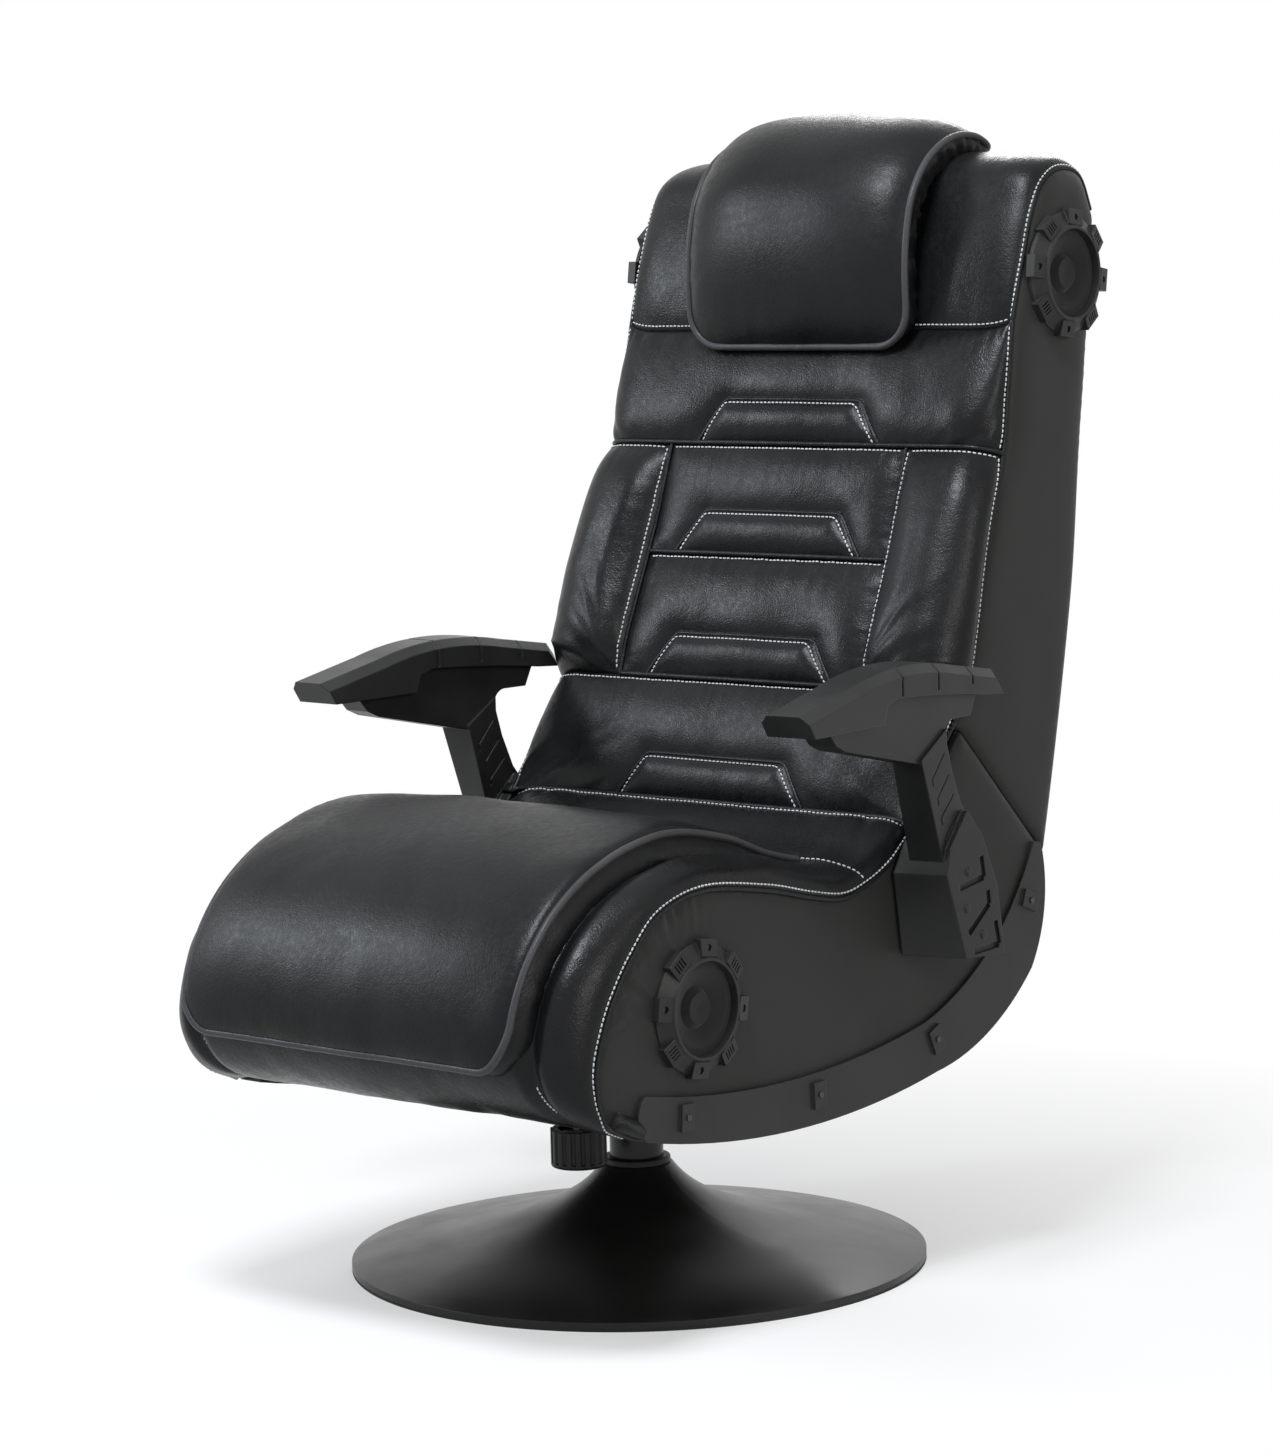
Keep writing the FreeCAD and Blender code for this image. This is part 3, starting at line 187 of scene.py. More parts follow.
class Surface:
    """A padded surface between a centre line and two side seams. q runs across it: straight as x up
    to where the side rounding starts, then along that rounding. s runs along the centre line."""

    def __init__(self, centre, edge, rounding, narrowing=((0, 0.0), (1, 0.0))):
        self.centre, self.index = smooth_line(centre)
        self.edge, _ = smooth_line(edge)
        steps = np.hypot(*np.diff(self.centre, axis=0).T)
        self.length = np.concatenate([[0], np.cumsum(steps)])
        self.flat = half_width - rounding
        self.rounding = rounding
        self.q_max = self.flat + rounding * math.pi / 2
        stations, amounts = zip(*narrowing)
        self.drawn_in = np.interp(self.index, stations, amounts)

    def s_at(self, station):
        return float(np.interp(station, self.index, self.length))

    def place(self, q, s):
        q, s = np.broadcast_arrays(np.asarray(q, float), np.asarray(s, float))
        turn = np.clip((np.abs(q) - self.flat) / self.rounding, 0, math.pi / 2)
        x = np.sign(q) * (np.minimum(np.abs(q), self.flat) + self.rounding * np.sin(turn))
        x = x * (1 - np.interp(s, self.length, self.drawn_in) / half_width)
        share = 1 - np.cos(turn)
        c = [np.interp(s, self.length, self.centre[:, k]) for k in (0, 1)]
        e = [np.interp(s, self.length, self.edge[:, k]) for k in (0, 1)]
        return np.stack([x, c[0] + (e[0] - c[0]) * share, c[1] + (e[1] - c[1]) * share], -1)

    def normal(self, q, s):
        q, s = np.broadcast_arrays(np.asarray(q, float), np.asarray(s, float))
        step = 1.5
        low_q, high_q = np.maximum(q - step, -self.q_max), np.minimum(q + step, self.q_max)
        low_s, high_s = np.maximum(s - 3 * step, 0), np.minimum(s + 3 * step, self.length[-1])
        across = self.place(high_q, s) - self.place(low_q, s)
        along = self.place(q, high_s) - self.place(q, low_s)
        n = np.cross(across, along)
        return n / np.linalg.norm(n, axis=-1, keepdims=True)


class Skin:
    """A surface with the height of its padding over it."""

    def __init__(self, surface, height):
        self.surface = surface
        self.height = height

    def place(self, q, s, lift=0.0):
        q, s = np.broadcast_arrays(np.asarray(q, float), np.asarray(s, float))
        h = self.height(q, s) + lift
        return self.surface.place(q, s) + self.surface.normal(q, s) * h[..., None]


def make_object(name, points, faces):
    """A closed mesh object from points in millimetres."""
    mesh = bpy.data.meshes.new(name)
    mesh.from_pydata([tuple(p * MM) for p in np.asarray(points, float)], [], faces)
    shape = bmesh.new()
    shape.from_mesh(mesh)
    bmesh.ops.recalc_face_normals(shape, faces=shape.faces)
    shape.to_mesh(mesh)
    shape.free()
    mesh.polygons.foreach_set("use_smooth", [True] * len(mesh.polygons))
    obj = bpy.data.objects.new(name, mesh)
    scene.collection.objects.link(obj)
    return obj


def closed_grid(name, front, back):
    """A closed form between two grids of points of the same size."""
    rows, columns = front.shape[:2]
    count = rows * columns

    def spot(i, j, side):
        return side * count + i * columns + j

    faces = []
    for i in range(rows - 1):
        for j in range(columns - 1):
            for side in (0, 1):
                loop = [spot(i, j, side), spot(i + 1, j, side),
                        spot(i + 1, j + 1, side), spot(i, j + 1, side)]
                faces.append(loop if side == 0 else loop[::-1])
    for j in range(columns - 1):
        faces.append([spot(0, j, 0), spot(0, j + 1, 0), spot(0, j + 1, 1), spot(0, j, 1)])
        faces.append([spot(rows - 1, j, 0), spot(rows - 1, j, 1),
                      spot(rows - 1, j + 1, 1), spot(rows - 1, j + 1, 0)])
    for i in range(rows - 1):
        faces.append([spot(i, 0, 0), spot(i, 0, 1), spot(i + 1, 0, 1), spot(i + 1, 0, 0)])
        faces.append([spot(i, columns - 1, 0), spot(i + 1, columns - 1, 0), spot(i + 1, columns - 1, 1),
                      spot(i, columns - 1, 1)])
    points = np.concatenate([front.reshape(-1, 3), back.reshape(-1, 3)])
    return make_object(name, points, faces)


def lines(low, high, pitch):
    return np.linspace(low, high, max(2, int(round((high - low) / pitch)) + 1))


def panel(name, skin, q_range, s_range, depth=20.0, pitch=3.0):
    """One sewn leather panel over part of a skin, closed behind."""
    q, s = np.meshgrid(lines(*q_range, pitch), lines(*s_range, pitch), indexing="ij")
    n = skin.surface.normal(q, s)
    front = skin.place(q, s)
    back = skin.surface.place(q, s) - n * depth
    return closed_grid(name, front, back)


def resample(points, pitch):
    """Points at even steps along a line of points, with the direction at each."""
    steps = np.linalg.norm(np.diff(points, axis=0), axis=1)
    along = np.concatenate([[0], np.cumsum(steps)])
    count = max(2, int(round(along[-1] / pitch)) + 1)
    at = np.linspace(0, along[-1], count)
    out = np.stack([np.interp(at, along, points[:, k]) for k in range(3)], -1)
    heading = np.gradient(out, axis=0)
    return out, heading / np.linalg.norm(heading, axis=1, keepdims=True)


def tube(name, points, radius, sides=10, pitch=3.0):
    """A round cord along a line of points, closed at both ends."""
    centre, heading = resample(np.asarray(points, float), pitch)
    up = np.array([0.0, 0.0, 1.0])
    if abs(heading[0] @ up) > 0.9:
        up = np.array([1.0, 0.0, 0.0])
    side = np.cross(heading[0], up)
    verts, faces = [], []
    for p, t in zip(centre, heading):
        side = side - t * (side @ t)
        side /= np.linalg.norm(side)
        other = np.cross(t, side)
        for k in range(sides):
            angle = 2 * math.pi * k / sides
            verts.append(p + radius * (math.cos(angle) * side + math.sin(angle) * other))
    for i in range(len(centre) - 1):
        for k in range(sides):
            a, b = i * sides + k, i * sides + (k + 1) % sides
            faces.append([a, b, b + sides, a + sides])
    verts += [centre[0] - heading[0] * radius * 0.6, centre[-1] + heading[-1] * radius * 0.6]
    first, last = len(verts) - 2, len(verts) - 1
    base = (len(centre) - 1) * sides
    for k in range(sides):
        faces.append([(k + 1) % sides, k, first])
        faces.append([base + k, base + (k + 1) % sides, last])
    return make_object(name, np.array(verts), faces)


def stitches(name, rows):
    """Small raised stitches along lines of points, all in one mesh. A row is (points, normals)."""
    verts, faces = [], []
    sides = 6
    for points, normals in rows:
        points = np.asarray(points, float)
        centre, heading = resample(points, stitch_pitch)
        share = np.linspace(0, 1, len(centre))
        source = np.linspace(0, 1, len(points))
        up = np.stack([np.interp(share, source, normals[:, k]) for k in range(3)], -1)
        for p, t, n in zip(centre[1:-1], heading[1:-1], up[1:-1]):
            n = n - t * (n @ t)
            n /= np.linalg.norm(n)
            side = np.cross(t, n)
            first = len(verts)
            for along, size in ((-0.5, 0.55), (-0.28, 1.0), (0.28, 1.0), (0.5, 0.55)):
                sink = 0.35 * stitch_radius if abs(along) == 0.5 else 0.0
                for k in range(sides):
                    angle = 2 * math.pi * k / sides
                    verts.append(p + t * along * stitch_length + n * (stitch_radius * 0.6 - sink)
                                 + stitch_radius * size * (math.cos(angle) * side + math.sin(angle) * n))
            for ring in range(3):
                for k in range(sides):
                    a, b = first + ring * sides + k, first + ring * sides + (k + 1) % sides
                    faces.append([a, b, b + sides, a + sides])
            faces.append([first + k for k in range(sides)][::-1])
            faces.append([first + 3 * sides + k for k in range(sides)])
    return make_object(name, np.array(verts), faces)


def skin_line(skin, path, lift=0.0, pitch=2.5):
    """Points and normals on a skin along straight runs between (q, s) points."""
    q, s = [], []
    for (q0, s0), (q1, s1) in zip(path[:-1], path[1:]):
        count = max(2, int(math.hypot(q1 - q0, s1 - s0) / pitch))
        share = np.linspace(0, 1, count, endpoint=False)
        q.append(q0 + (q1 - q0) * share)
        s.append(s0 + (s1 - s0) * share)
    q = np.append(np.concatenate(q), path[-1][0])
    s = np.append(np.concatenate(s), path[-1][1])
    return skin.place(q, s, lift), skin.surface.normal(q, s)


def rounded(path, radius, count=5):
    """A path of (q, s) corners with each inner corner rounded."""
    out = [path[0]]
    for before, corner, after in zip(path[:-2], path[1:-1], path[2:]):
        corner = np.array(corner, float)
        to_before = np.array(before) - corner
        to_after = np.array(after) - corner
        a = corner + to_before / np.linalg.norm(to_before) * radius
        b = corner + to_after / np.linalg.norm(to_after) * radius
        for t in np.linspace(0, 1, count):
            out.append(tuple((1 - t) ** 2 * a + 2 * t * (1 - t) * corner + t * t * b))
    out.append(path[-1])
    return out


# Materials
def material(name, build):
    made = bpy.data.materials.new(name)
    made.use_nodes = True
    tree = made.node_tree
    shader = tree.nodes["Principled BSDF"]
    build(tree, shader)
    return made


def add(tree, kind, inputs=None, **settings):
    """A node with its settings and its inputs: a value, or another node's output."""
    node = tree.nodes.new(kind)
    for key, value in settings.items():
        setattr(node, key, value)
    for key, value in (inputs or {}).items():
        if isinstance(value, bpy.types.NodeSocket):
            tree.links.new(value, node.inputs[key])
        else:
            node.inputs[key].default_value = value
    return node


def place_of(tree):
    return add(tree, "ShaderNodeTexCoord").outputs["Object"]


def noise(tree, where, scale, detail=4.0, rough=0.55, distortion=0.0):
    return add(tree, "ShaderNodeTexNoise", {"Vector": where, "Scale": scale, "Detail": detail,
                                            "Roughness": rough, "Distortion": distortion}).outputs["Fac"]


def ramp(tree, value, low, high):
    """Two colours by a value from 0.3 to 0.7."""
    made = add(tree, "ShaderNodeValToRGB", {"Fac": value})
    made.color_ramp.elements[0].position = 0.3
    made.color_ramp.elements[0].color = (*low, 1)
    made.color_ramp.elements[1].position = 0.7
    made.color_ramp.elements[1].color = (*high, 1)
    return made.outputs["Color"]


def spread(tree, value, low, high):
    """A value from 0.3 to 0.7 mapped to low to high."""
    return add(tree, "ShaderNodeMapRange", {"Value": value, "From Min": 0.3, "From Max": 0.7,
                                            "To Min": low, "To Max": high}).outputs["Result"]


def bump(tree, height, strength, distance, normal=None):
    inputs = {"Height": height, "Strength": strength, "Distance": distance}
    if normal is not None:
        inputs["Normal"] = normal
    return add(tree, "ShaderNodeBump", inputs).outputs["Normal"]


def worn(tree, colour, edge_colour, amount):
    """Lightens raised edges a little, as handling does."""
    point = add(tree, "ShaderNodeNewGeometry").outputs["Pointiness"]
    share = add(tree, "ShaderNodeMapRange", {"Value": point, "From Min": 0.52, "From Max": 0.62,
                                             "To Min": 0.0, "To Max": amount}).outputs["Result"]
    mix = add(tree, "ShaderNodeMix", {"Factor": share}, data_type="RGBA")
    tree.links.new(colour, mix.inputs[6])
    mix.inputs[7].default_value = (*edge_colour, 1)
    return mix.outputs[2]


def leather(name, dark, light, gloss_low, gloss_high, grain=1.0):
    def build(tree, shader):
        where = place_of(tree)
        broad = noise(tree, where, 9.0, 3.0)
        fine = noise(tree, where, 240.0, 5.0)
        cells = add(tree, "ShaderNodeTexVoronoi", {"Vector": where, "Scale": 360.0, "Randomness": 1.0},
                    feature="DISTANCE_TO_EDGE").outputs["Distance"]
        creases = noise(tree, where, 34.0, 6.0, 0.62, 1.4)
        mottle = noise(tree, where, 150.0, 3.0)
        colour = ramp(tree, broad, dark, light)
        shader.inputs["Base Color"].default_value = (*dark, 1)
        tree.links.new(worn(tree, colour, [c * 1.9 for c in light], 0.5), shader.inputs["Base Color"])
        rough = add(tree, "ShaderNodeMath", operation="ADD")
        tree.links.new(spread(tree, broad, gloss_low, gloss_high), rough.inputs[0])
        tree.links.new(spread(tree, mottle, -0.06, 0.07), rough.inputs[1])
        tree.links.new(rough.outputs[0], shader.inputs["Roughness"])
        shader.inputs["Specular IOR Level"].default_value = 0.14
        shader.inputs["Coat Weight"].default_value = 0.04
        shader.inputs["Coat Roughness"].default_value = 0.3
        normal = bump(tree, creases, 0.16 * grain, 0.002)
        normal = bump(tree, mottle, 0.3 * grain, 0.001, normal)
        normal = bump(tree, fine, 0.3 * grain, 0.0007, normal)
        normal = bump(tree, cells, 0.35 * grain, 0.0008, normal)
        tree.links.new(normal, shader.inputs["Normal"])
    return material(name, build)


def fabric(name, dark, light, rough=0.86, weave=1.0):
    def build(tree, shader):
        where = place_of(tree)
        broad = noise(tree, where, 14.0, 4.0)
        threads = []
        for direction in ("Y", "Z"):
            wave = add(tree, "ShaderNodeTexWave", {"Vector": where, "Scale": 260.0, "Distortion": 0.6,
                                                   "Detail": 1.0}, bands_direction=direction)
            threads.append(wave.outputs["Fac"])
        woven = add(tree, "ShaderNodeMath", {0: threads[0], 1: threads[1]}, operation="MULTIPLY").outputs[0]
        fuzz = noise(tree, where, 900.0, 3.0)
        tree.links.new(ramp(tree, broad, dark, light), shader.inputs["Base Color"])
        tree.links.new(spread(tree, broad, rough - 0.04, rough + 0.04), shader.inputs["Roughness"])
        shader.inputs["Specular IOR Level"].default_value = 0.15
        shader.inputs["Sheen Weight"].default_value = 0.12
        shader.inputs["Sheen Roughness"].default_value = 0.5
        normal = bump(tree, woven, 0.3 * weave, 0.0004)
        normal = bump(tree, fuzz, 0.25 * weave, 0.0003, normal)
        tree.links.new(normal, shader.inputs["Normal"])
    return material(name, build)


def hard(name, dark, light, rough, metal=0.0, grain_scale=1600.0, grain=0.12, bevel=0.0012, specular=0.25):
    """A moulded plastic or coated metal, with softened edges and fine grain."""
    def build(tree, shader):
        where = place_of(tree)
        broad = noise(tree, where, 18.0, 4.0)
        grains = noise(tree, where, grain_scale, 3.0)
        colour = ramp(tree, broad, dark, light)
        tree.links.new(worn(tree, colour, [min(1, c * 2.2) for c in light], 0.4), shader.inputs["Base Color"])
        tree.links.new(spread(tree, broad, rough - 0.05, rough + 0.05), shader.inputs["Roughness"])
        shader.inputs["Metallic"].default_value = metal
        shader.inputs["Specular IOR Level"].default_value = specular
        soft = add(tree, "ShaderNodeBevel", {"Radius": bevel}, samples=6).outputs["Normal"]
        tree.links.new(bump(tree, grains, grain, 0.0003, soft), shader.inputs["Normal"])
    return material(name, build)


black_leather = leather("black_leather", (0.0045, 0.0046, 0.005), (0.0085, 0.0087, 0.0095), 0.27, 0.38)
pad_leather = leather("pad_leather", (0.005, 0.0051, 0.0056), (0.009, 0.0092, 0.01), 0.31, 0.42, 0.8)
piping_leather = leather("piping_leather", (0.03, 0.029, 0.031), (0.05, 0.049, 0.052), 0.34, 0.46, 0.5)
side_fabric = fabric("side_fabric", (0.011, 0.0103, 0.0095), (0.016, 0.0149, 0.0138), 0.5, 0.6)
under_fabric = fabric("under_fabric", (0.014, 0.014, 0.014), (0.02, 0.02, 0.02), 0.95)
thread = fabric("thread", (0.42, 0.43, 0.43), (0.62, 0.63, 0.63), 0.7, 0.5)
plastic = hard("black_plastic", (0.009, 0.0088, 0.0084), (0.014, 0.0136, 0.013), 0.46, bevel=0.0016)
arm_plastic = hard("arm_plastic", (0.009, 0.009, 0.0089), (0.014, 0.0139, 0.0137), 0.4, bevel=0.002)
steel_paint = hard("black_steel", (0.011, 0.0108, 0.0105), (0.016, 0.0157, 0.015), 0.33, grain=0.05,
                   grain_scale=420.0)
bright_steel = hard("bright_steel", (0.42, 0.42, 0.43), (0.55, 0.55, 0.56), 0.32, 1.0, 900.0, 0.08)
dark_screw = hard("screw_black", (0.03, 0.03, 0.031), (0.05, 0.05, 0.052), 0.35, 0.9, 900.0, 0.08)
spring_steel = hard("spring_steel", (0.25, 0.25, 0.27), (0.36, 0.36, 0.38), 0.36, 1.0, 700.0, 0.1)
bush_plastic = hard("bearing_plastic", (0.5, 0.49, 0.46), (0.6, 0.59, 0.56), 0.45)
rubber = hard("black_rubber", (0.014, 0.014, 0.014), (0.022, 0.022, 0.022), 0.8, grain=0.25)
cone = fabric("speaker_cloth", (0.018, 0.0175, 0.017), (0.026, 0.025, 0.0245), 0.85, 1.6)


def wood_build(tree, shader):
    where = place_of(tree)
    stretched = add(tree, "ShaderNodeMapping", {"Vector": where, "Scale": (4.0, 40.0, 6.0)}).outputs["Vector"]
    figure = noise(tree, stretched, 9.0, 6.0, 0.6, 0.8)
    tree.links.new(ramp(tree, figure, (0.30, 0.19, 0.10), (0.47, 0.33, 0.19)), shader.inputs["Base Color"])
    tree.links.new(spread(tree, figure, 0.55, 0.75), shader.inputs["Roughness"])
    tree.links.new(bump(tree, figure, 0.2, 0.0006), shader.inputs["Normal"])


board = material("plywood", wood_build)

slot_materials = {
    "black_steel": steel_paint, "black_plastic": plastic, "bearing_plastic": bush_plastic,
    "bright_steel": bright_steel, "spring_steel": spring_steel, "screw_black": dark_screw, "board": board,
    "black_leather": black_leather, "charcoal_fabric": side_fabric, "speaker_cone": cone,
    "black_rubber": rubber,
}
slot_of = {part["node"]: part["material_slot"] for part in frame["record"]["subparts"]}


def finish_with(obj, made):
    obj.data.materials.clear()
    obj.data.materials.append(made)


for node_name, obj in nodes.items():
    made = slot_materials.get(slot_of.get(node_name), plastic)
    if node_name.startswith("arm_p") and node_name != "arm_pivots":
        made = arm_plastic
    obj.data.materials.clear()
    obj.data.materials.append(made)


def carry(obj, how):
    """Rides a piece on a body, or, for a fold, bakes its place into its mesh."""
    if how == "fold":
        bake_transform(obj)
    else:
        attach(obj, how)


def sewn(name, paths, skin, how):
    """Stitches along paths on a skin."""
    obj = stitches(name, [skin_line(skin, path, stitch_lift) for path in paths])
    finish_with(obj, thread)
    carry(obj, how)


def folded(name, path, skin, lift, radius, how):
    """A round edge of folded leather along a path on a skin."""
    line, _ = skin_line(skin, path, lift)
    obj = tube(name, line, radius, 8)
    finish_with(obj, black_leather)
    carry(obj, how)


def piped(name, points, how):
    """A piped edge along points in millimetres."""
    obj = tube(name, points, piping_radius, 12)
    finish_with(obj, piping_leather)
    carry(obj, how)


def cushion(piece, made, slot, how, fill, *stood_for):
    """Gives a soft piece its finish, hides the nodes it stands for and carries it on its body or bakes it in
    place. The filling is not used.
    """
    finish_with(piece, made)
    if stood_for:
        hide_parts(*stood_for)
    carry(piece, how)


# Backrest
back = Surface(back_centre, back_edge, back_round, back_narrowing)
s_fold = back.s_at(station_fold)
s_lower = back.s_at(station_lower)
s_wing_top = back.s_at(station_wing_top)
s_head = back.s_at(station_head)
s_end = back.length[-1]


def seam_puckers(across, distance, seed, size=1.3, reach=16.0, wave=8.0):
    """Short wrinkles square to a seam."""
    ripple = value_noise(across / wave, distance / 40.0, seed)
    ripple = ripple + 0.6 * value_noise(across / 4.3, 0.0, seed + 1)
    return size * ripple * np.exp(-distance / reach) * rise(distance, 2.0)


def unevenness(q, s, seed, size=1.3):
    return size * (value_noise(q / 62.0, s / 62.0, seed) + 0.4 * value_noise(q / 24.0, s / 30.0, seed + 7))


def inset_distance(q, s, seam):
    """Distance outside the trapezoid inset over a seam, negative inside it."""
    slope = (inset_bottom - inset_top) / inset_height
    lean = math.hypot(1, slope)
    side = (np.abs(q) - inset_bottom + slope * (s - seam)) / lean
    top = (s - seam) - inset_height
    outside = np.hypot(np.maximum(side, 0), np.maximum(top, 0))
    return np.where((side > 0) | (top > 0), outside, np.maximum(side, top))


def inset_shape(q, s, seam, crown):
    """Presses the stitched line of an inset into a crown, and puffs the inset itself."""
    away = inset_distance(q, s, seam)
    line = 1 - 0.8 * np.exp(-np.abs(away) / np.where(away > 0, 15.0, 7.0))
    puff = inset_puff * rise(-away, 9.0) * rise(s - seam, 8.0)
    return crown * line + puff


def centre_height(low, high, crown, seed, side=None, side_width=16.0):
    """The height of a panel between two cross seams, with an inset over its lower seam."""
    def height(q, s):
        h = crown * rise(s - low, 13.0) * rise(high - s, 17.0)
        if side is not None:
            h = h * rise(side - np.abs(q), side_width)
        h = inset_shape(q, s, low, h)
        h = h + seam_puckers(q, high - s, seed) + seam_puckers(q, s - low, seed + 3, 0.6, 9.0)
        keep = rise(s - low, 8.0) * rise(high - s, 8.0)
        if side is not None:
            h = h + seam_puckers(s, side - np.abs(q), seed + 5, 0.8, 11.0)
            keep = keep * rise(side - np.abs(q), 8.0)
        return h + unevenness(q, s, seed) * keep
    return height


def wing_height(q, s):
    """The bolster beside the centre panels: full, with folds fanning from its foot."""
    inner = np.abs(q) - wing_seam
    outer = back.q_max - np.abs(q)
    low, high = s - s_fold, s_wing_top - s
    h = wing_crown * rise(inner, 17.0) * rise(outer, 24.0) * rise(low, 15.0) * rise(high, 30.0)
    spread_angle = np.arctan2(low + 18.0, np.abs(q) - wing_seam + 10.0)
    fan = value_noise(spread_angle * 7.5, np.hypot(low, inner) / 90.0, 31)
    ridge = 1 - np.abs(fan) * 2
    h = h + wing_folds * ridge * np.exp(-low / 46.0) * rise(low, 10.0) * rise(inner, 8.0) * rise(outer, 14.0)
    long_folds = value_noise(inner / 17.0 + low / 160.0, low / 120.0, 37)
    h = h + 0.9 * long_folds * rise(inner, 10.0) * rise(outer, 14.0) * rise(high, 12.0)
    h = h + seam_puckers(np.abs(q), high, 33, 0.9, 20.0) + seam_puckers(s, inner, 35, 0.7, 12.0)
    return h + unevenness(q, s, 39) * rise(inner, 8.0) * rise(outer, 10.0)


def lumbar_height(q, s):
    base = centre_height(0.0, s_fold, lumbar_crown, 51)(q, s)
    outer = back.q_max - np.abs(q)
    corner = np.exp(-s / 40.0) * smoothstep(110.0, 190.0, np.abs(q))
    folds = value_noise((s + np.abs(q) * 0.55) / 11.0, np.abs(q) / 70.0, 57)
    return base * rise(outer, 34.0) + lumbar_folds * corner * folds * rise(s, 6.0) * rise(outer, 8.0)


def shoulder_height(q, s):
    outer = back.q_max - np.abs(q)
    base = centre_height(s_wing_top, s_head, panel_crown, 61)(q, s)
    corner = np.exp(-(s - s_wing_top) / 34.0) * smoothstep(140.0, 230.0, np.abs(q))
    folds = value_noise((s - np.abs(q) * 0.8) / 12.0, np.abs(q) / 60.0, 67)
    folds = folds * rise(s - s_wing_top, 6.0) * rise(outer, 8.0)
    return base * rise(outer, 34.0) + shoulder_folds * corner * folds


def head_height(q, s):
    outer = back.q_max - np.abs(q)
    h = panel_crown * rise(s - s_head, 20.0) * rise(outer, 40.0)
    h = h * (1 - smoothstep(s_end - 60.0, s_end, s) * 0.8)
    h = h + seam_puckers(q, s - s_head, 73, 0.5, 12.0)
    return h + unevenness(q, s, 77, 1.2) * rise(s - s_head, 8.0) * rise(outer, 8.0)


skins = {
    "lumbar": Skin(back, lumbar_height),
    "lower": Skin(back, centre_height(s_fold, s_lower, panel_crown, 41, wing_seam)),
    "upper": Skin(back, centre_height(s_lower, s_wing_top, panel_crown, 45, wing_seam)),
    "wing": Skin(back, wing_height),
    "shoulder": Skin(back, shoulder_height),
    "head": Skin(back, head_height),
}
q_max = back.q_max
panels = [
    ("lumbar_leather", "lumbar", (-q_max, q_max), (0, s_fold), "fold", ("lumbar_pad", "fold_gusset")),
    ("lower_leather", "lower", (-wing_seam, wing_seam), (s_fold, s_lower), "fold", ("back_pad_lower",)),
    ("upper_leather", "upper", (-wing_seam, wing_seam), (s_lower, s_wing_top), "backrest",
     ("back_pad_upper",)),
    ("wing_leather_left", "wing", (wing_seam, q_max), (s_fold, s_wing_top), "fold",
     ("wing_pad_left",)),
    ("wing_leather_right", "wing", (-q_max, -wing_seam), (s_fold, s_wing_top), "fold",
     ("wing_pad_right",)),
    ("shoulder_leather", "shoulder", (-q_max, q_max), (s_wing_top, s_head), "backrest",
     ("shoulder_pad",)),
    ("head_roll_leather", "head", (-q_max, q_max), (s_head, s_end), "backrest", ("head_pad",)),
]
for name, skin_name, q_range, s_range, how, stood_for in panels:
    piece = panel(name, skins[skin_name], q_range, s_range)
    cushion(piece, black_leather, "black_leather", how, 0.7, *stood_for)


def inset_path(seam, inward):
    """The corners of an inset's stitched line, moved inward."""
    slope = (inset_bottom - inset_top) / inset_height
    shift = inward * math.hypot(1, slope)
    top = inset_height - inward
    half_top = inset_bottom - slope * top - shift
    half_bottom = inset_bottom - shift
    path = [(-half_bottom, seam + 1.0), (-half_top, seam + top),
            (half_top, seam + top), (half_bottom, seam + 1.0)]
    return rounded(path, 7.0)


def seam_rows(skin_name, seam, how, name, half):
    """The stitching and the folded edge of the inset over a seam, and of the seam itself."""
    skin = skins[skin_name]
    sewn(name + "_inset_stitches", [inset_path(seam, stitch_offset)], skin, how)
    folded(name + "_inset_fold", inset_path(seam, -0.6), skin, 0.5, 2.2, how)
    folded(name + "_seam_fold", [(-half, seam + 1.2), (half, seam + 1.2)], skin, 0.9, 2.7, how)


seam_rows("lumbar", 0.0, "seat", "lumbar", q_max - 1)
seam_rows("lower", s_fold, "fold", "lower", wing_seam - 1)
seam_rows("upper", s_lower, "backrest", "upper", wing_seam - 1)
seam_rows("shoulder", s_wing_top, "backrest", "shoulder", q_max - 1)
for name, skin_name, s_line, half, how in (
        ("fold_stitches", "lumbar", s_fold - stitch_offset, q_max - stitch_end, "fold"),
        ("lower_stitches", "lower", s_lower - stitch_offset, wing_seam - 3, "fold"),
        ("upper_stitches", "upper", s_wing_top - stitch_offset, wing_seam - 3, "backrest"),
        ("shoulder_stitches", "head", s_head + stitch_offset, q_max - stitch_end, "backrest")):
    sewn(name, [[(-half, s_line), (half, s_line)]], skins[skin_name], how)
edge_runs = (
    ("lumbar", 0.0, s_fold, "fold"), ("wing", s_fold, s_wing_top, "fold"),
    ("shoulder", s_wing_top, s_head, "backrest"), ("head", s_head, s_end - 6, "backrest"))
for side, sign in (("left", 1), ("right", -1)):
    beside = sign * (wing_seam + stitch_offset)
    below_top = s_wing_top - stitch_offset
    sewn("wing_stitches_" + side, [
        [(beside, s_fold + 3), (beside, s_wing_top - 3)],
        [(sign * (wing_seam + 6), below_top), (sign * (q_max - stitch_end), below_top)],
    ], skins["wing"], "fold")
    seam = sign * (wing_seam + 0.4)
    folded("wing_fold_" + side, [(seam, s_fold), (seam, s_wing_top)], skins["wing"], 0.9, 1.9, "fold")
    for run_name, low, high, how in edge_runs:
        line = sign * (q_max - edge_stitch_inset)
        sewn(run_name + "_edge_stitches_" + side, [[(line, low + 2), (line, high - 2)]], skins[run_name], how)
        line = sign * (q_max - edge_fold_inset)
        folded(run_name + "_edge_fold_" + side, [(line, low), (line, high)], skins[run_name], 0.6,
               edge_fold_radius, how)

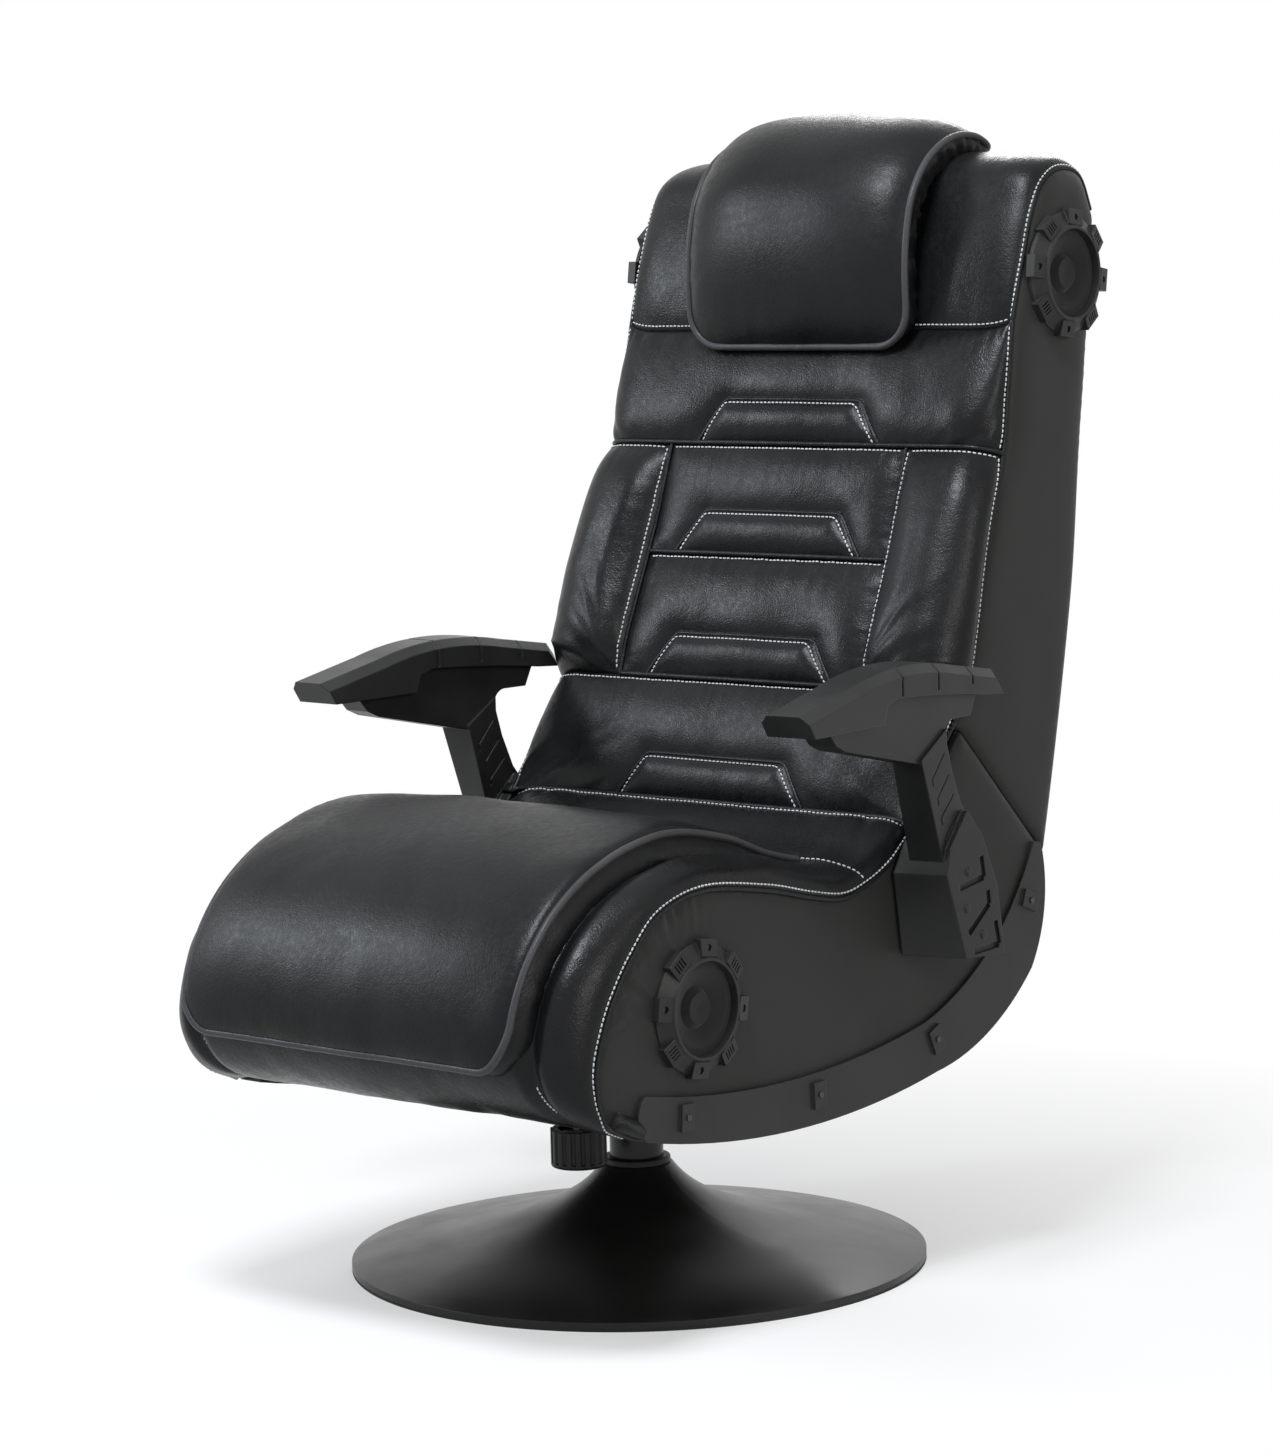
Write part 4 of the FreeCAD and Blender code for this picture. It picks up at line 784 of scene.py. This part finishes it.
# Seat
seat = Surface(seat_centre, seat_edge, seat_round)
seat_q = seat.q_max
seat_end = seat.length[-1]
station_pad_front = 3.35
station_pad_rear = 12.0
s_pad_front = seat.s_at(station_pad_front)
s_pad_rear = seat.s_at(station_pad_rear)


def seat_height(q, s):
    outer = seat_q - np.abs(q)
    h = seat_crown * rise(outer, 12.0) * rise(seat_end - s, 14.0)
    valley = np.exp(-((np.abs(q) - pad_half - 9.0) / 8.0) ** 2)
    valley = valley * smoothstep(s_pad_rear + 20, s_pad_rear - 90, s)
    h = h - pad_valley * valley
    corner = np.exp(-(seat_end - s) / 45.0) * smoothstep(130.0, 210.0, np.abs(q))
    folds = value_noise((np.abs(q) * 1.2 + s * 0.5) / 13.0, s / 90.0, 87)
    h = h + seat_folds * corner * folds * rise(outer, 10.0) * rise(seat_end - s, 7.0)
    h = h + seam_puckers(q, seat_end - s, 83, 0.5, 10.0) + seam_puckers(s, outer, 85, 0.35, 8.0)
    return h + unevenness(q, s, 89) * rise(outer, 10.0) * rise(seat_end - s, 8.0)


seat_skin = Skin(seat, seat_height)
piece = panel("seat_leather", seat_skin, (-seat_q, seat_q), (0, seat_end), depth=16.0)
cushion(piece, black_leather, "black_leather", "seat", 0.7, "seat_cushion")
rear_row = seat_end - stitch_offset
sewn("seat_rear_stitches", [[(-(seat_q - stitch_end), rear_row), (seat_q - stitch_end, rear_row)]],
     seat_skin, "seat")
s_diagonal_in = seat.s_at(12.0)
s_diagonal_out = seat.s_at(13.0)
for side, sign in (("left", 1), ("right", -1)):
    line = sign * (seat_q - edge_stitch_inset)
    sewn("seat_edge_stitches_" + side, [
        [(line, 4.0), (line, seat_end - 4.0)],
        [(sign * 206.0, s_diagonal_in), (sign * (seat_q - 10.0), s_diagonal_out)],
        [(sign * 216.0, 4.0), (sign * 216.0, s_pad_front - 16.0)],
    ], seat_skin, "seat")
    line = sign * (seat_q - edge_fold_inset)
    folded("seat_edge_fold_" + side, [(line, 0.0), (line, seat_end)], seat_skin, 0.6,
           edge_fold_radius, "seat")


# Pads with a piped rim
def rounded_outline(half_across, low, high, radius, low_radius=None, count=220):
    """Points round a rectangle with rounded corners, evenly spaced, from the middle of its low side."""
    low_radius = radius if low_radius is None else low_radius
    corners = [(half_across, low, low_radius, -90), (half_across, high, radius, 0),
               (-half_across, high, radius, 90), (-half_across, low, low_radius, 180)]
    dense = [(0.0, low)]
    for x, y, r, start in corners:
        cx = x - math.copysign(r, x)
        cy = y - r if y == high else y + r
        for k in range(13):
            angle = math.radians(start + 90 * k / 12)
            dense.append((cx + r * math.cos(angle), cy + r * math.sin(angle)))
    dense.append((0.0, low))
    dense = np.array(dense)
    steps = np.hypot(*np.diff(dense, axis=0).T)
    along = np.concatenate([[0], np.cumsum(steps)])
    at = np.linspace(0, along[-1], count, endpoint=False)
    return np.stack([np.interp(at, along, dense[:, k]) for k in (0, 1)], -1)


def outward_of(outline):
    """The direction away from a closed outline at each of its points."""
    tangent = np.roll(outline, -1, axis=0) - np.roll(outline, 1, axis=0)
    out = np.stack([tangent[:, 1], -tangent[:, 0]], -1)
    return out / np.linalg.norm(out, axis=1, keepdims=True)


def ringed(name, first, rings, last):
    """A closed form from a point, through rings of the same size, to a last point."""
    count = len(rings[0])
    verts = np.concatenate([first.reshape(1, 3), *rings, last.reshape(1, 3)])
    faces = []
    base = 1 + (len(rings) - 1) * count
    for k in range(count):
        after = (k + 1) % count
        faces.append([0, 1 + k, 1 + after])
        for ring in range(len(rings) - 1):
            a, b = 1 + ring * count + k, 1 + ring * count + after
            faces.append([a, a + count, b + count, b])
        faces.append([base + k, len(verts) - 1, base + after])
    return make_object(name, verts, faces)


# Ring sizes of a pad's top as shares of its outline, closer together towards the rim
top_shares = (0.03, 0.08, 0.14, 0.2, 0.27, 0.34, 0.41, 0.48, 0.55, 0.61, 0.67, 0.73, 0.78, 0.83, 0.87, 0.9,
              0.925, 0.945, 0.96, 0.972, 0.982, 0.99, 0.996, 1.0)
under_shares = (0.7, 0.3)


def along_of(outline):
    steps = np.linalg.norm(np.roll(outline, -1, axis=0) - outline, axis=1)
    return np.concatenate([[0], np.cumsum(steps)[:-1]])


pad_s_low = s_pad_front
pad_s_high = s_pad_rear + 34.0
pad_middle = (0.0, (pad_s_low + pad_s_high) / 2)
pad_outline = rounded_outline(pad_half, pad_s_low, pad_s_high, 12.0, 34.0, 260)


def pad_fade(s):
    """The pad's rim sinks into the seat at the rear."""
    return smoothstep(pad_s_high, pad_s_high - 250.0, s)


def pad_top(x, s, share):
    across = np.clip(np.abs(x) / pad_half, 0, 1)
    along = np.clip((s - pad_s_low) / 120.0, 0, 1)
    crown = pad_crown * (1 - across ** 2.6) ** 0.6 * (1 - (1 - along) ** 2.6) ** 0.6
    edge = (1 - share ** 26) ** 0.5
    plateau = pad_rim + 5.0 * edge
    near = np.minimum(pad_half - np.abs(x), s - pad_s_low)
    ripple = 0.7 * value_noise((x + s) / 9.0, (x - s) / 9.0, 93) * np.exp(-np.maximum(near, 0) / 12.0)
    soft = 1.3 * value_noise(x / 70.0, s / 70.0, 95)
    h = plateau + crown + (ripple + soft) * edge
    return seat_height(x, s) - 2.0 + h * pad_fade(s)


def pad_lift(x, s, h):
    x, s, h = np.broadcast_arrays(x, s, h)
    return seat.place(x, s) + seat.normal(x, s) * np.asarray(h)[..., None]


def pad_wall(x, s, level):
    """Heights down the pad's gathered wall, from 1 at the rim to 0 at the seat's leather."""
    gathers = 1.1 * value_noise((x * 0.7 + s) / 7.0, level * 1.5, 97)
    return seat_height(x, s) - 2.0 + pad_rim * level * pad_fade(s) + gathers * level * (1 - level) * 3


def build_pad():
    out = outward_of(pad_outline)
    centre = np.array(pad_middle)
    rings = []
    for share in top_shares:
        flat = centre + (pad_outline - centre) * share
        rings.append(pad_lift(flat[:, 0], flat[:, 1], pad_top(flat[:, 0], flat[:, 1], share)))
    along = along_of(pad_outline)
    for level, outward_by in ((0.86, 1.5), (0.66, 4.5), (0.42, 6.5), (0.2, 7.5), (0.0, 8.0), (-0.25, 6.0)):
        pleat = 1.6 * value_noise(along / 8.0, level * 2.0, 99) * (1 - abs(level - 0.45))
        flat = pad_outline + out * (outward_by + pleat * pad_fade(pad_outline[:, 1]))[:, None]
        rings.append(pad_lift(flat[:, 0], flat[:, 1], pad_wall(flat[:, 0], flat[:, 1], level)))
    for share in under_shares:
        flat = centre + (pad_outline - centre) * share
        rings.append(pad_lift(flat[:, 0], flat[:, 1], seat_height(flat[:, 0], flat[:, 1]) - 8.0))
    first = pad_lift(centre[:1], centre[1:], pad_top(centre[:1], centre[1:], 0.0))
    last = pad_lift(centre[:1], centre[1:], -4.0)
    return ringed("front_pad_leather", first, rings, last)


cushion(build_pad(), pad_leather, "black_leather", "seat", 0.75, "front_pad")
shown = [p for p in np.roll(pad_outline, -len(pad_outline) // 2, axis=0) if p[1] < s_pad_rear - 4]
flat = np.array(shown)
height = pad_top(flat[:, 0], flat[:, 1], 1.0)
piped("front_pad_piping", pad_lift(flat[:, 0], flat[:, 1], height + 0.5), "seat")

# Headrest pillow
pillow_base, _ = smooth_line(pillow_line, 16)
pillow_steps = np.concatenate([[0], np.cumsum(np.hypot(*np.diff(pillow_base, axis=0).T))])
pillow_long = pillow_steps[-1]
pillow_outline = rounded_outline(pillow_half, 0.0, pillow_long, 16.0, 38.0, 220)
pillow_middle = np.array((0.0, pillow_long / 2))


def pillow_lift(x, s, h):
    x, s, h = np.broadcast_arrays(np.asarray(x, float), s, h)
    y = np.interp(s, pillow_steps, pillow_base[:, 0])
    z = np.interp(s, pillow_steps, pillow_base[:, 1])
    before, after = np.maximum(s - 6, 0), np.minimum(s + 6, pillow_long)
    dy, dz = (
        np.interp(after, pillow_steps, line) - np.interp(before, pillow_steps, line)
        for line in pillow_base.T)
    size = np.hypot(dy, dz)
    return np.stack([x, y - dz / size * h, z + dy / size * h], -1)


def pillow_top(x, s, share):
    across = np.clip(np.abs(x) / pillow_half, 0, 1)
    along = np.clip(np.abs(s - pillow_long / 2) / (pillow_long / 2), 0, 1)
    crown = pillow_crown * (1 - across ** 3.0) ** 0.6 * (1 - along ** 3.6) ** 0.6 * (1 - share ** 14) ** 0.5
    near = np.minimum(pillow_half - np.abs(x), np.minimum(s, pillow_long - s))
    angle = np.arctan2(s - pillow_long / 2, x)
    pleats = 1.1 * value_noise(angle * 16.0, near / 30.0, 103) * np.exp(-np.maximum(near, 0) / 20.0)
    low_folds = 1.2 * value_noise(x / 22.0 + 7, s / 60.0, 105) * np.exp(-np.maximum(s - 8.0, 0) / 38.0)
    soft = 1.4 * value_noise(x / 60.0, s / 60.0, 107)
    edge = (1 - share ** 20) ** 0.5
    return crown + (pleats + low_folds + soft) * edge


def build_pillow():
    out = outward_of(pillow_outline)
    rings = []
    for share in top_shares:
        flat = pillow_middle + (pillow_outline - pillow_middle) * share
        rings.append(pillow_lift(flat[:, 0], flat[:, 1], pillow_top(flat[:, 0], flat[:, 1], share)))
    along = along_of(pillow_outline)
    for height, outward_by in (
            (-3.0, 0.5), (-7.0, 1.6), (-12.0, 1.0), (-18.0, -1.0), (-24.0, -3.5), (-pillow_wall, -7.0)):
        pleat = 2.6 * value_noise(along / 7.0, height / 14.0, 109)
        flat = pillow_outline + out * (outward_by + pleat)[:, None]
        rings.append(pillow_lift(flat[:, 0], np.clip(flat[:, 1], 0, pillow_long), height + 0 * along))
    for share in under_shares:
        flat = pillow_middle + (pillow_outline - pillow_middle) * share
        rings.append(pillow_lift(flat[:, 0], flat[:, 1], -pillow_wall + 0 * along))
    x, middle = pillow_middle[:1], pillow_middle[1:]
    first = pillow_lift(x, middle, pillow_top(x, middle, 0.0))
    last = pillow_lift(x, middle, np.array([-pillow_wall]))
    return ringed("headrest_leather", first, rings, last)


cushion(build_pillow(), pad_leather, "black_leather", "backrest", 0.8, "headrest_pillow")
loop = np.vstack([pillow_outline, pillow_outline[:1]])
piped("headrest_piping", pillow_lift(loop[:, 0], loop[:, 1], 0.0 * loop[:, 0]), "backrest")


# Side covers
def arc_points(start, through, end, count=14):
    """Points along the circle through three points."""
    (ax, ay), (bx, by), (cx, cy) = start, through, end
    d = 2 * (ax * (by - cy) + bx * (cy - ay) + cx * (ay - by))
    a, b, c = ax * ax + ay * ay, bx * bx + by * by, cx * cx + cy * cy
    ux = (a * (by - cy) + b * (cy - ay) + c * (ay - by)) / d
    uy = (a * (cx - bx) + b * (ax - cx) + c * (bx - ax)) / d
    angles = [math.atan2(y - uy, x - ux) for x, y in (start, through, end)]
    turn = (angles[2] - angles[0]) % (2 * math.pi)
    if (angles[1] - angles[0]) % (2 * math.pi) > turn:
        turn -= 2 * math.pi
    r = math.hypot(ax - ux, ay - uy)
    return [(ux + r * math.cos(angles[0] + turn * k / count), uy + r * math.sin(angles[0] + turn * k / count))
            for k in range(count + 1)]


def polygon_distance(points, polygon):
    """The distance of each point to a closed outline."""
    best = np.full(len(points), 1e9)
    for a, b in zip(polygon, np.roll(polygon, -1, axis=0)):
        ab = b - a
        t = np.clip(((points - a) @ ab) / max(ab @ ab, 1e-9), 0, 1)
        best = np.minimum(best, np.linalg.norm(points - (a + t[:, None] * ab), axis=1))
    return best


def inside(points, polygon):
    """Whether each point lies in a closed outline."""
    result = np.zeros(len(points), bool)
    for (ay, az), (by, bz) in zip(polygon, np.roll(polygon, -1, axis=0)):
        crosses = (az > points[:, 1]) != (bz > points[:, 1])
        with np.errstate(divide="ignore", invalid="ignore"):
            at = (by - ay) * (points[:, 1] - az) / (bz - az) + ay
        result ^= crosses & (points[:, 0] < at)
    return result


def side_cover(name, polygon, hole, sign, crown, gather=None, pitch=5.0, tuck=None):
    """A padded fabric panel on a side of the shell, with a round hole for its speaker."""
    polygon = np.array(polygon, float)
    loop = np.vstack([polygon, polygon[:1]])
    line, _ = resample(np.column_stack([loop, np.zeros(len(loop))]), pitch)
    rim = line[:-1, :2]
    centre, radius = np.array(hole[0], float), hole[1]
    angles = np.linspace(0, 2 * math.pi, 48, endpoint=False)
    ring = centre + radius * np.stack([np.cos(angles), np.sin(angles)], -1)
    low, high = polygon.min(0), polygon.max(0)
    grid = np.stack(np.meshgrid(np.arange(low[0], high[0], pitch), np.arange(low[1], high[1], pitch)), -1)
    grid = grid.reshape(-1, 2)
    grid[:, 0] += (np.round((grid[:, 1] - low[1]) / pitch) % 2) * pitch / 2
    away = polygon_distance(grid, rim)
    clear = np.linalg.norm(grid - centre, axis=1) > radius + 3
    grid = grid[inside(grid, rim) & (away > 1.6 * pitch / 2) & clear]
    tangent = np.roll(rim, -1, axis=0) - np.roll(rim, 1, axis=0)
    inward = np.stack([-tangent[:, 1], tangent[:, 0]], -1)
    inward /= np.linalg.norm(inward, axis=1, keepdims=True)
    if not inside(rim[:1] + inward[:1] * 1.0, rim)[0]:
        inward = -inward
    near_rim = rim + inward * 1.6
    points = np.vstack([rim, ring, near_rim, grid])
    rings = [(i, (i + 1) % len(rim)) for i in range(len(rim))]
    rings += [(len(rim) + i, len(rim) + (i + 1) % len(ring)) for i in range(len(ring))]
    made = delaunay_2d_cdt([Vector(p) for p in points], rings, [], 0, 1e-5)
    flat = np.array([(v.x, v.y) for v in made[0]])
    faces = np.array([f for f in made[2] if len(f) == 3])
    middle = flat[faces].mean(1)
    keep = inside(middle, rim) & (np.linalg.norm(middle - centre, axis=1) > radius * 0.99)
    faces = faces[keep]
    from_rim = polygon_distance(flat, rim)
    bulge = crown * rise(from_rim, 9.0) - 2.2 * np.exp(-from_rim / 1.2)
    bulge += 0.35 * value_noise(flat[:, 0] / 50, flat[:, 1] / 50, 113) * rise(from_rim, 20.0)
    if gather is not None:
        bulge += gather(flat, from_rim)
    if tuck is not None:
        bulge -= tuck(flat, from_rim)
    x_out = sign * (half_width + bulge)
    outer = np.column_stack([x_out, flat])
    inner = np.column_stack([np.full(len(flat), sign * (half_width - 9.0)), flat])
    count = len(flat)
    all_faces = [list(f) for f in faces] + [[i + count for i in f[::-1]] for f in faces]
    directed = {}
    for f in faces:
        for a, b in ((f[0], f[1]), (f[1], f[2]), (f[2], f[0])):
            directed[(a, b)] = True
    for a, b in directed:
        if (b, a) not in directed:
            all_faces.append([b, a, a + count, b + count])
    used = np.unique(np.array([i for f in all_faces for i in f]))
    renumber = -np.ones(2 * count, int)
    renumber[used] = np.arange(len(used))
    points = np.vstack([outer, inner])[used]
    return make_object(name, points, [[int(renumber[i]) for i in f] for f in all_faces])


rocker_points = (
    arc_points((338.0, 402.0), (341.0, 335.0), (317.0, 277.0))
    + arc_points((317.0, 277.0), (260.0, 233.0), (155.0, 197.0))[1:]
    + arc_points((155.0, 197.0), (-60.0, 179.0), (-292.0, 206.0))[1:])
seat_side_points = ([tuple(p) for p in seat.edge[::4]] + [(169.0, 485.0), (211.0, 529.0)]
                    + rocker_points[:-1])


def seat_gathers(flat, distance):
    """Puckers along the front of the seat's top edge."""
    angle = np.arctan2(flat[:, 1] - 300.0, flat[:, 0] + 215.0)
    whole = np.where(angle < 0, angle + 2 * math.pi, angle)
    mask = smoothstep(1.25, 1.65, angle) * smoothstep(3.35, 2.9, whole)
    ripple = value_noise(angle * 30.0, distance / 50.0, 117)
    ripple = ripple + 0.5 * value_noise(angle * 62.0, distance / 30.0, 118)
    return side_folds * ripple * mask * np.exp(-distance / 24.0) * rise(distance, 2.5)


rear_line = arc_points((463.0, 1035.0), (424.0, 740.0), (351.3, 390.0), 40)
back_edge_points = [tuple(p) for p in back.edge[len(back.edge) * 2 // 15::4] if p[1] > 534.0]
back_side_points = [(211.6, 529.6)] + back_edge_points + rear_line[1:]


def back_tuck(flat, distance):
    """Draws the panel's rim in to meet the leather where the backrest narrows."""
    return 6.5 * smoothstep(640.0, 830.0, flat[:, 1]) * np.exp(-distance / 10.0)


seat_hole = ((-211.0, 316.0), 50.0)
back_hole = ((400.0, 978.0), 50.0)
for side, sign in (("left", 1), ("right", -1)):
    piece = side_cover("seat_side_fabric_" + side, seat_side_points, seat_hole, sign, 2.0, seat_gathers)
    cushion(piece, side_fabric, "charcoal_fabric", "seat", 0.9, "seat_side_cover_" + side)
    piece = side_cover("back_side_fabric_" + side, back_side_points, back_hole, sign, 2.4, tuck=back_tuck)
    cushion(piece, side_fabric, "charcoal_fabric", "backrest", 0.9, "back_side_cover_" + side)


# Rear and underside fabric
def sheet(name, curve, x_low, x_high, sag, depth, seed):
    """A fabric panel stretched over a curve of (y, z) points, from x_low to x_high."""
    line, heading = resample(np.column_stack([curve, np.zeros(len(curve))]), 8.0)
    out = np.stack([heading[:, 1], -heading[:, 0]], -1)
    across = lines(x_low, x_high, 8.0)
    x, k = np.meshgrid(across, np.arange(len(line)), indexing="ij")
    along = k * 8.0
    half = (x_high - x_low) / 2
    edge = half - np.abs(x - (x_low + x_high) / 2)
    dip = sag * rise(edge, 30.0) + 0.7 * value_noise(x / 45.0, along / 60.0, seed) * rise(edge, 20.0)
    dip += 0.8 * value_noise(x / 60.0, along / 9.0, seed + 1) * np.exp(-edge / 14.0)
    front = np.stack([x, line[k, 0] - out[k, 0] * dip, line[k, 1] - out[k, 1] * dip], -1)
    behind = front - np.stack([0 * x, out[k, 0], out[k, 1]], -1) * depth
    return closed_grid(name, front, behind)


rear_curve = [(y - 3.0, z) for y, z in rear_line[1:-1]][::-1]
piece = sheet("back_rear_fabric", rear_curve, -247.0, 247.0, 3.0, 3.0, 131)
cushion(piece, side_fabric, "charcoal_fabric", "backrest", 0.9, "back_rear_cover")

under_curve = np.array(rocker_points[::-1], float)
under_steps = np.gradient(under_curve, axis=0)
under_steps /= np.linalg.norm(under_steps, axis=1, keepdims=True)
under_curve = under_curve + np.stack([-under_steps[:, 1], under_steps[:, 0]], -1) * under_inset
under_side = 232.0
for name, x_low, x_high, y_low, y_high, stood_for in (
        ("rear", -under_side, under_side, under_opening[1], 400.0, ("underside_cover",)),
        ("left", under_half, under_side, *under_opening, ()),
        ("right", -under_side, -under_half, *under_opening, ()),
        ("front", -under_side, under_side, -300.0, under_opening[0], ())):
    part = np.array([p for p in under_curve if y_low - 12 <= p[0] <= y_high + 12 and p[1] < 392])
    piece = sheet("underside_fabric_" + name, part, x_low, x_high, 0.0, 2.5, 141)
    cushion(piece, under_fabric, "charcoal_fabric", "seat", 0.9, *stood_for)

# Tension spring: a coil in the box of the imported spring
coil_low, coil_high = (np.array(corner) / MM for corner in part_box("tension_spring"))
coil_middle = (coil_low + coil_high) / 2
coil_radius = (coil_high[0] - coil_low[0]) / 2 - coil_wire
turn = np.linspace(0, 1, coil_turns * 24 + 1)
coil = np.stack([
    coil_middle[0] + coil_radius * np.cos(2 * math.pi * coil_turns * turn),
    coil_middle[1] + coil_radius * np.sin(2 * math.pi * coil_turns * turn),
    coil_low[2] + coil_wire + (coil_high[2] - coil_low[2] - 2 * coil_wire) * turn], -1)
piece = tube("tension_coil", coil, coil_wire, 12, 1.5)
finish_with(piece, spring_steel)
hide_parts("tension_spring")
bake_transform(piece)

# Floor, light and camera
floor_mesh = bpy.data.meshes.new("floor")
shape = bmesh.new()
bmesh.ops.create_circle(shape, cap_ends=True, radius=9.0, segments=96)
shape.to_mesh(floor_mesh)
shape.free()
floor = bpy.data.objects.new("floor", floor_mesh)
scene.collection.objects.link(floor)


def floor_build(tree, shader):
    """Pale and shadowed near the chair, fading to plain white for the camera further out."""
    out = tree.nodes["Material Output"]
    where = place_of(tree)
    length = add(tree, "ShaderNodeVectorMath", {0: where}, operation="LENGTH").outputs["Value"]
    far = add(tree, "ShaderNodeMapRange", {"Value": length, "From Min": 0.3, "From Max": 1.2,
                                           "To Min": 0.45, "To Max": 1.0}).outputs["Result"]
    path = add(tree, "ShaderNodeLightPath")
    seen = path.outputs["Is Camera Ray"]
    for ray in ("Is Glossy Ray", "Is Transmission Ray"):
        seen = add(tree, "ShaderNodeMath", {0: seen, 1: path.outputs[ray]}, operation="MAXIMUM").outputs[0]
    share = add(tree, "ShaderNodeMath", {0: seen, 1: far}, operation="MULTIPLY").outputs[0]
    shader.inputs["Base Color"].default_value = (0.82, 0.82, 0.82, 1)
    shader.inputs["Roughness"].default_value = 0.9
    glow = add(tree, "ShaderNodeEmission", {"Color": (1, 1, 1, 1), "Strength": 1.0})
    mix = add(tree, "ShaderNodeMixShader", {0: share})
    tree.links.new(shader.outputs[0], mix.inputs[1])
    tree.links.new(glow.outputs[0], mix.inputs[2])
    tree.links.new(mix.outputs[0], out.inputs["Surface"])


floor.data.materials.append(material("floor", floor_build))

world = bpy.data.worlds.new("studio")
scene.world = world
world.use_nodes = True
tree = world.node_tree
tree.nodes.clear()
path = add(tree, "ShaderNodeLightPath")
seen = path.outputs["Is Camera Ray"]
for name in ("Is Glossy Ray", "Is Transmission Ray"):
    seen = add(tree, "ShaderNodeMath", {0: seen, 1: path.outputs[name]}, operation="MAXIMUM").outputs[0]
plain = add(tree, "ShaderNodeBackground", {"Color": (0.93, 0.96, 1.0, 1), "Strength": 0.2})
white = add(tree, "ShaderNodeBackground", {"Color": (1, 1, 1, 1), "Strength": 1.0})
mix = add(tree, "ShaderNodeMixShader", {0: seen})
tree.links.new(plain.outputs[0], mix.inputs[1])
tree.links.new(white.outputs[0], mix.inputs[2])
out = add(tree, "ShaderNodeOutputWorld")
tree.links.new(mix.outputs[0], out.inputs["Surface"])


def softbox(name, spot, aim, width, height, power, colour=(1, 1, 1)):
    light = bpy.data.lights.new(name, "AREA")
    light.shape = "RECTANGLE"
    light.size = width
    light.size_y = height
    light.energy = power
    light.color = colour
    obj = bpy.data.objects.new(name, light)
    obj.location = spot
    obj.rotation_euler = (Vector(aim) - Vector(spot)).to_track_quat("-Z", "Y").to_euler()
    scene.collection.objects.link(obj)


softbox("key_above", (0.4, -1.3, 3.0), (0, 0.1, 0.6), 0.8, 0.6, 90, (0.9, 0.955, 1.0))
softbox("fill_left", (-2.4, -1.8, 2.0), (0, 0, 0.6), 0.6, 1.1, 48, (0.87, 0.94, 1.0))
softbox("side_right", (3.0, -0.6, 1.7), (0, 0.1, 0.6), 0.9, 1.3, 28, (1.0, 0.98, 0.95))
softbox("rim_rear", (-1.2, 2.4, 2.4), (0, 0.2, 0.7), 1.0, 1.0, 30)

azimuth, elevation, roll = (math.radians(v) for v in (camera_azimuth, camera_elevation, camera_roll))
back_dir = Vector((math.sin(azimuth) * math.cos(elevation), -math.cos(azimuth) * math.cos(elevation),
                   math.sin(elevation)))
level = Vector((math.cos(azimuth), math.sin(azimuth), 0))
upright = level.cross(-back_dir)
right = level * math.cos(roll) + upright * math.sin(roll)
up = upright * math.cos(roll) - level * math.sin(roll)
spot = level * camera_aim_right + Vector((0, 0, camera_aim_height)) + back_dir * camera_distance
lens = bpy.data.cameras.new("camera")
lens.lens = camera_lens
lens.sensor_width = 36.0
lens.clip_start = 0.1
lens.clip_end = 60.0
camera = bpy.data.objects.new("camera", lens)
camera.matrix_world = Matrix((
    (right.x, up.x, back_dir.x, spot.x), (right.y, up.y, back_dir.y, spot.y),
    (right.z, up.z, back_dir.z, spot.z), (0, 0, 0, 1)))
scene.collection.objects.link(camera)
scene.camera = camera
scene.view_settings.view_transform = "Standard"
